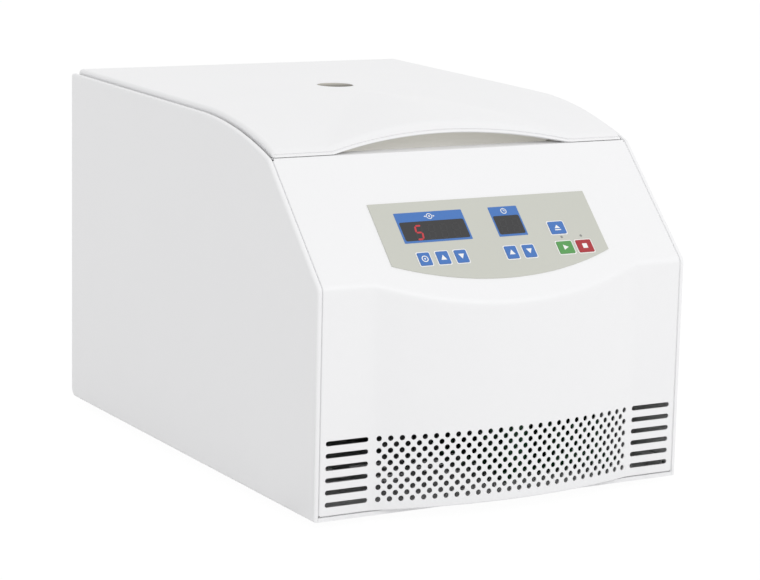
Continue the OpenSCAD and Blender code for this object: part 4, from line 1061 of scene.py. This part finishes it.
# %% Floor and world
def white_ground(name, share):
    """Plain white to the camera and in reflections, with a share of the lit surface mixed in,
    so that a soft shadow stays."""
    sh = Shader(name)
    sh.feed(Base_Color=(0.86, 0.86, 0.86, 1), Roughness=0.9)
    light = sh.add("ShaderNodeEmission", {}, {"Color": (1, 1, 1, 1), "Strength": 1.03})
    seen = 0.0
    for kind in ("Is Camera Ray", "Is Glossy Ray", "Is Transmission Ray"):
        seen = sh.add("ShaderNodeLightPath", output=kind) + seen
    mixed = sh.add("ShaderNodeMixShader", {}, {
        0: seen * share, 1: Field(sh, sh.surface.outputs[0]), 2: light})
    sh.tree.links.new(mixed.socket, sh.tree.nodes["Material Output"].inputs["Surface"])
    return sh.material


bpy.ops.mesh.primitive_plane_add(size=40, location=(0, 0, 0))
floor = bpy.context.object
floor.name = "floor"
floor.data.materials.append(white_ground("white floor", 0.94))

world = bpy.data.worlds.new("studio")
bpy.context.scene.world = world
world.use_nodes = True
nodes = world.node_tree.nodes
ambient = nodes["Background"]
ambient.inputs["Color"].default_value = (1, 1, 1, 1)
ambient.inputs["Strength"].default_value = 0.84
backdrop = nodes.new("ShaderNodeBackground")
backdrop.inputs["Color"].default_value = (1, 1, 1, 1)
backdrop.inputs["Strength"].default_value = 1.0
path = nodes.new("ShaderNodeLightPath")
mix = nodes.new("ShaderNodeMixShader")
join = world.node_tree.links.new
either, any_seen = nodes.new("ShaderNodeMath"), nodes.new("ShaderNodeMath")
either.operation = any_seen.operation = "ADD"
join(path.outputs["Is Camera Ray"], either.inputs[0])
join(path.outputs["Is Glossy Ray"], either.inputs[1])
join(either.outputs[0], any_seen.inputs[0])
join(path.outputs["Is Transmission Ray"], any_seen.inputs[1])
join(any_seen.outputs[0], mix.inputs[0])
join(ambient.outputs[0], mix.inputs[1])
join(backdrop.outputs[0], mix.inputs[2])
join(mix.outputs[0], nodes["World Output"].inputs["Surface"])


# %% Lamps
def softbox(name, position, aim, size, power):
    data = bpy.data.lights.new(name, "AREA")
    data.shape, data.size, data.size_y, data.energy = "RECTANGLE", size[0], size[1], power
    ob = bpy.data.objects.new(name, data)
    bpy.context.scene.collection.objects.link(ob)
    ob.location = position
    ob.rotation_mode = "QUATERNION"
    ob.rotation_quaternion = (Vector(aim) - Vector(position)).to_track_quat("-Z", "Y")
    return ob


softbox("front softbox", (1.2, -3.4, 2.6), (0, 0, 0.2), (2.4, 2.0), 34)

# %% Camera
AZIMUTH, ELEVATION, ROLL = (math.radians(v) for v in (-29.911, 10.745, 1.297))
back = Vector((math.sin(AZIMUTH) * math.cos(ELEVATION),
               -math.cos(AZIMUTH) * math.cos(ELEVATION), math.sin(ELEVATION)))
level = (-back).cross(Vector((0, 0, 1))).normalized()
upward = level.cross(-back)
right_axis = math.cos(ROLL) * level + math.sin(ROLL) * upward
up_axis = -math.sin(ROLL) * level + math.cos(ROLL) * upward
camera = bpy.data.objects.new("camera", bpy.data.cameras.new("camera"))
bpy.context.scene.collection.objects.link(camera)
camera.matrix_world = Matrix.Translation((-1.19265, -2.10310, 0.60985)) @ Matrix(
    (right_axis, up_axis, back)).transposed().to_4x4()
camera.data.sensor_width, camera.data.lens = 36.0, 120.81
camera.data.clip_start, camera.data.clip_end = 0.05, 60.0
bpy.context.scene.camera = camera
bpy.context.scene.view_settings.view_transform = "Standard"
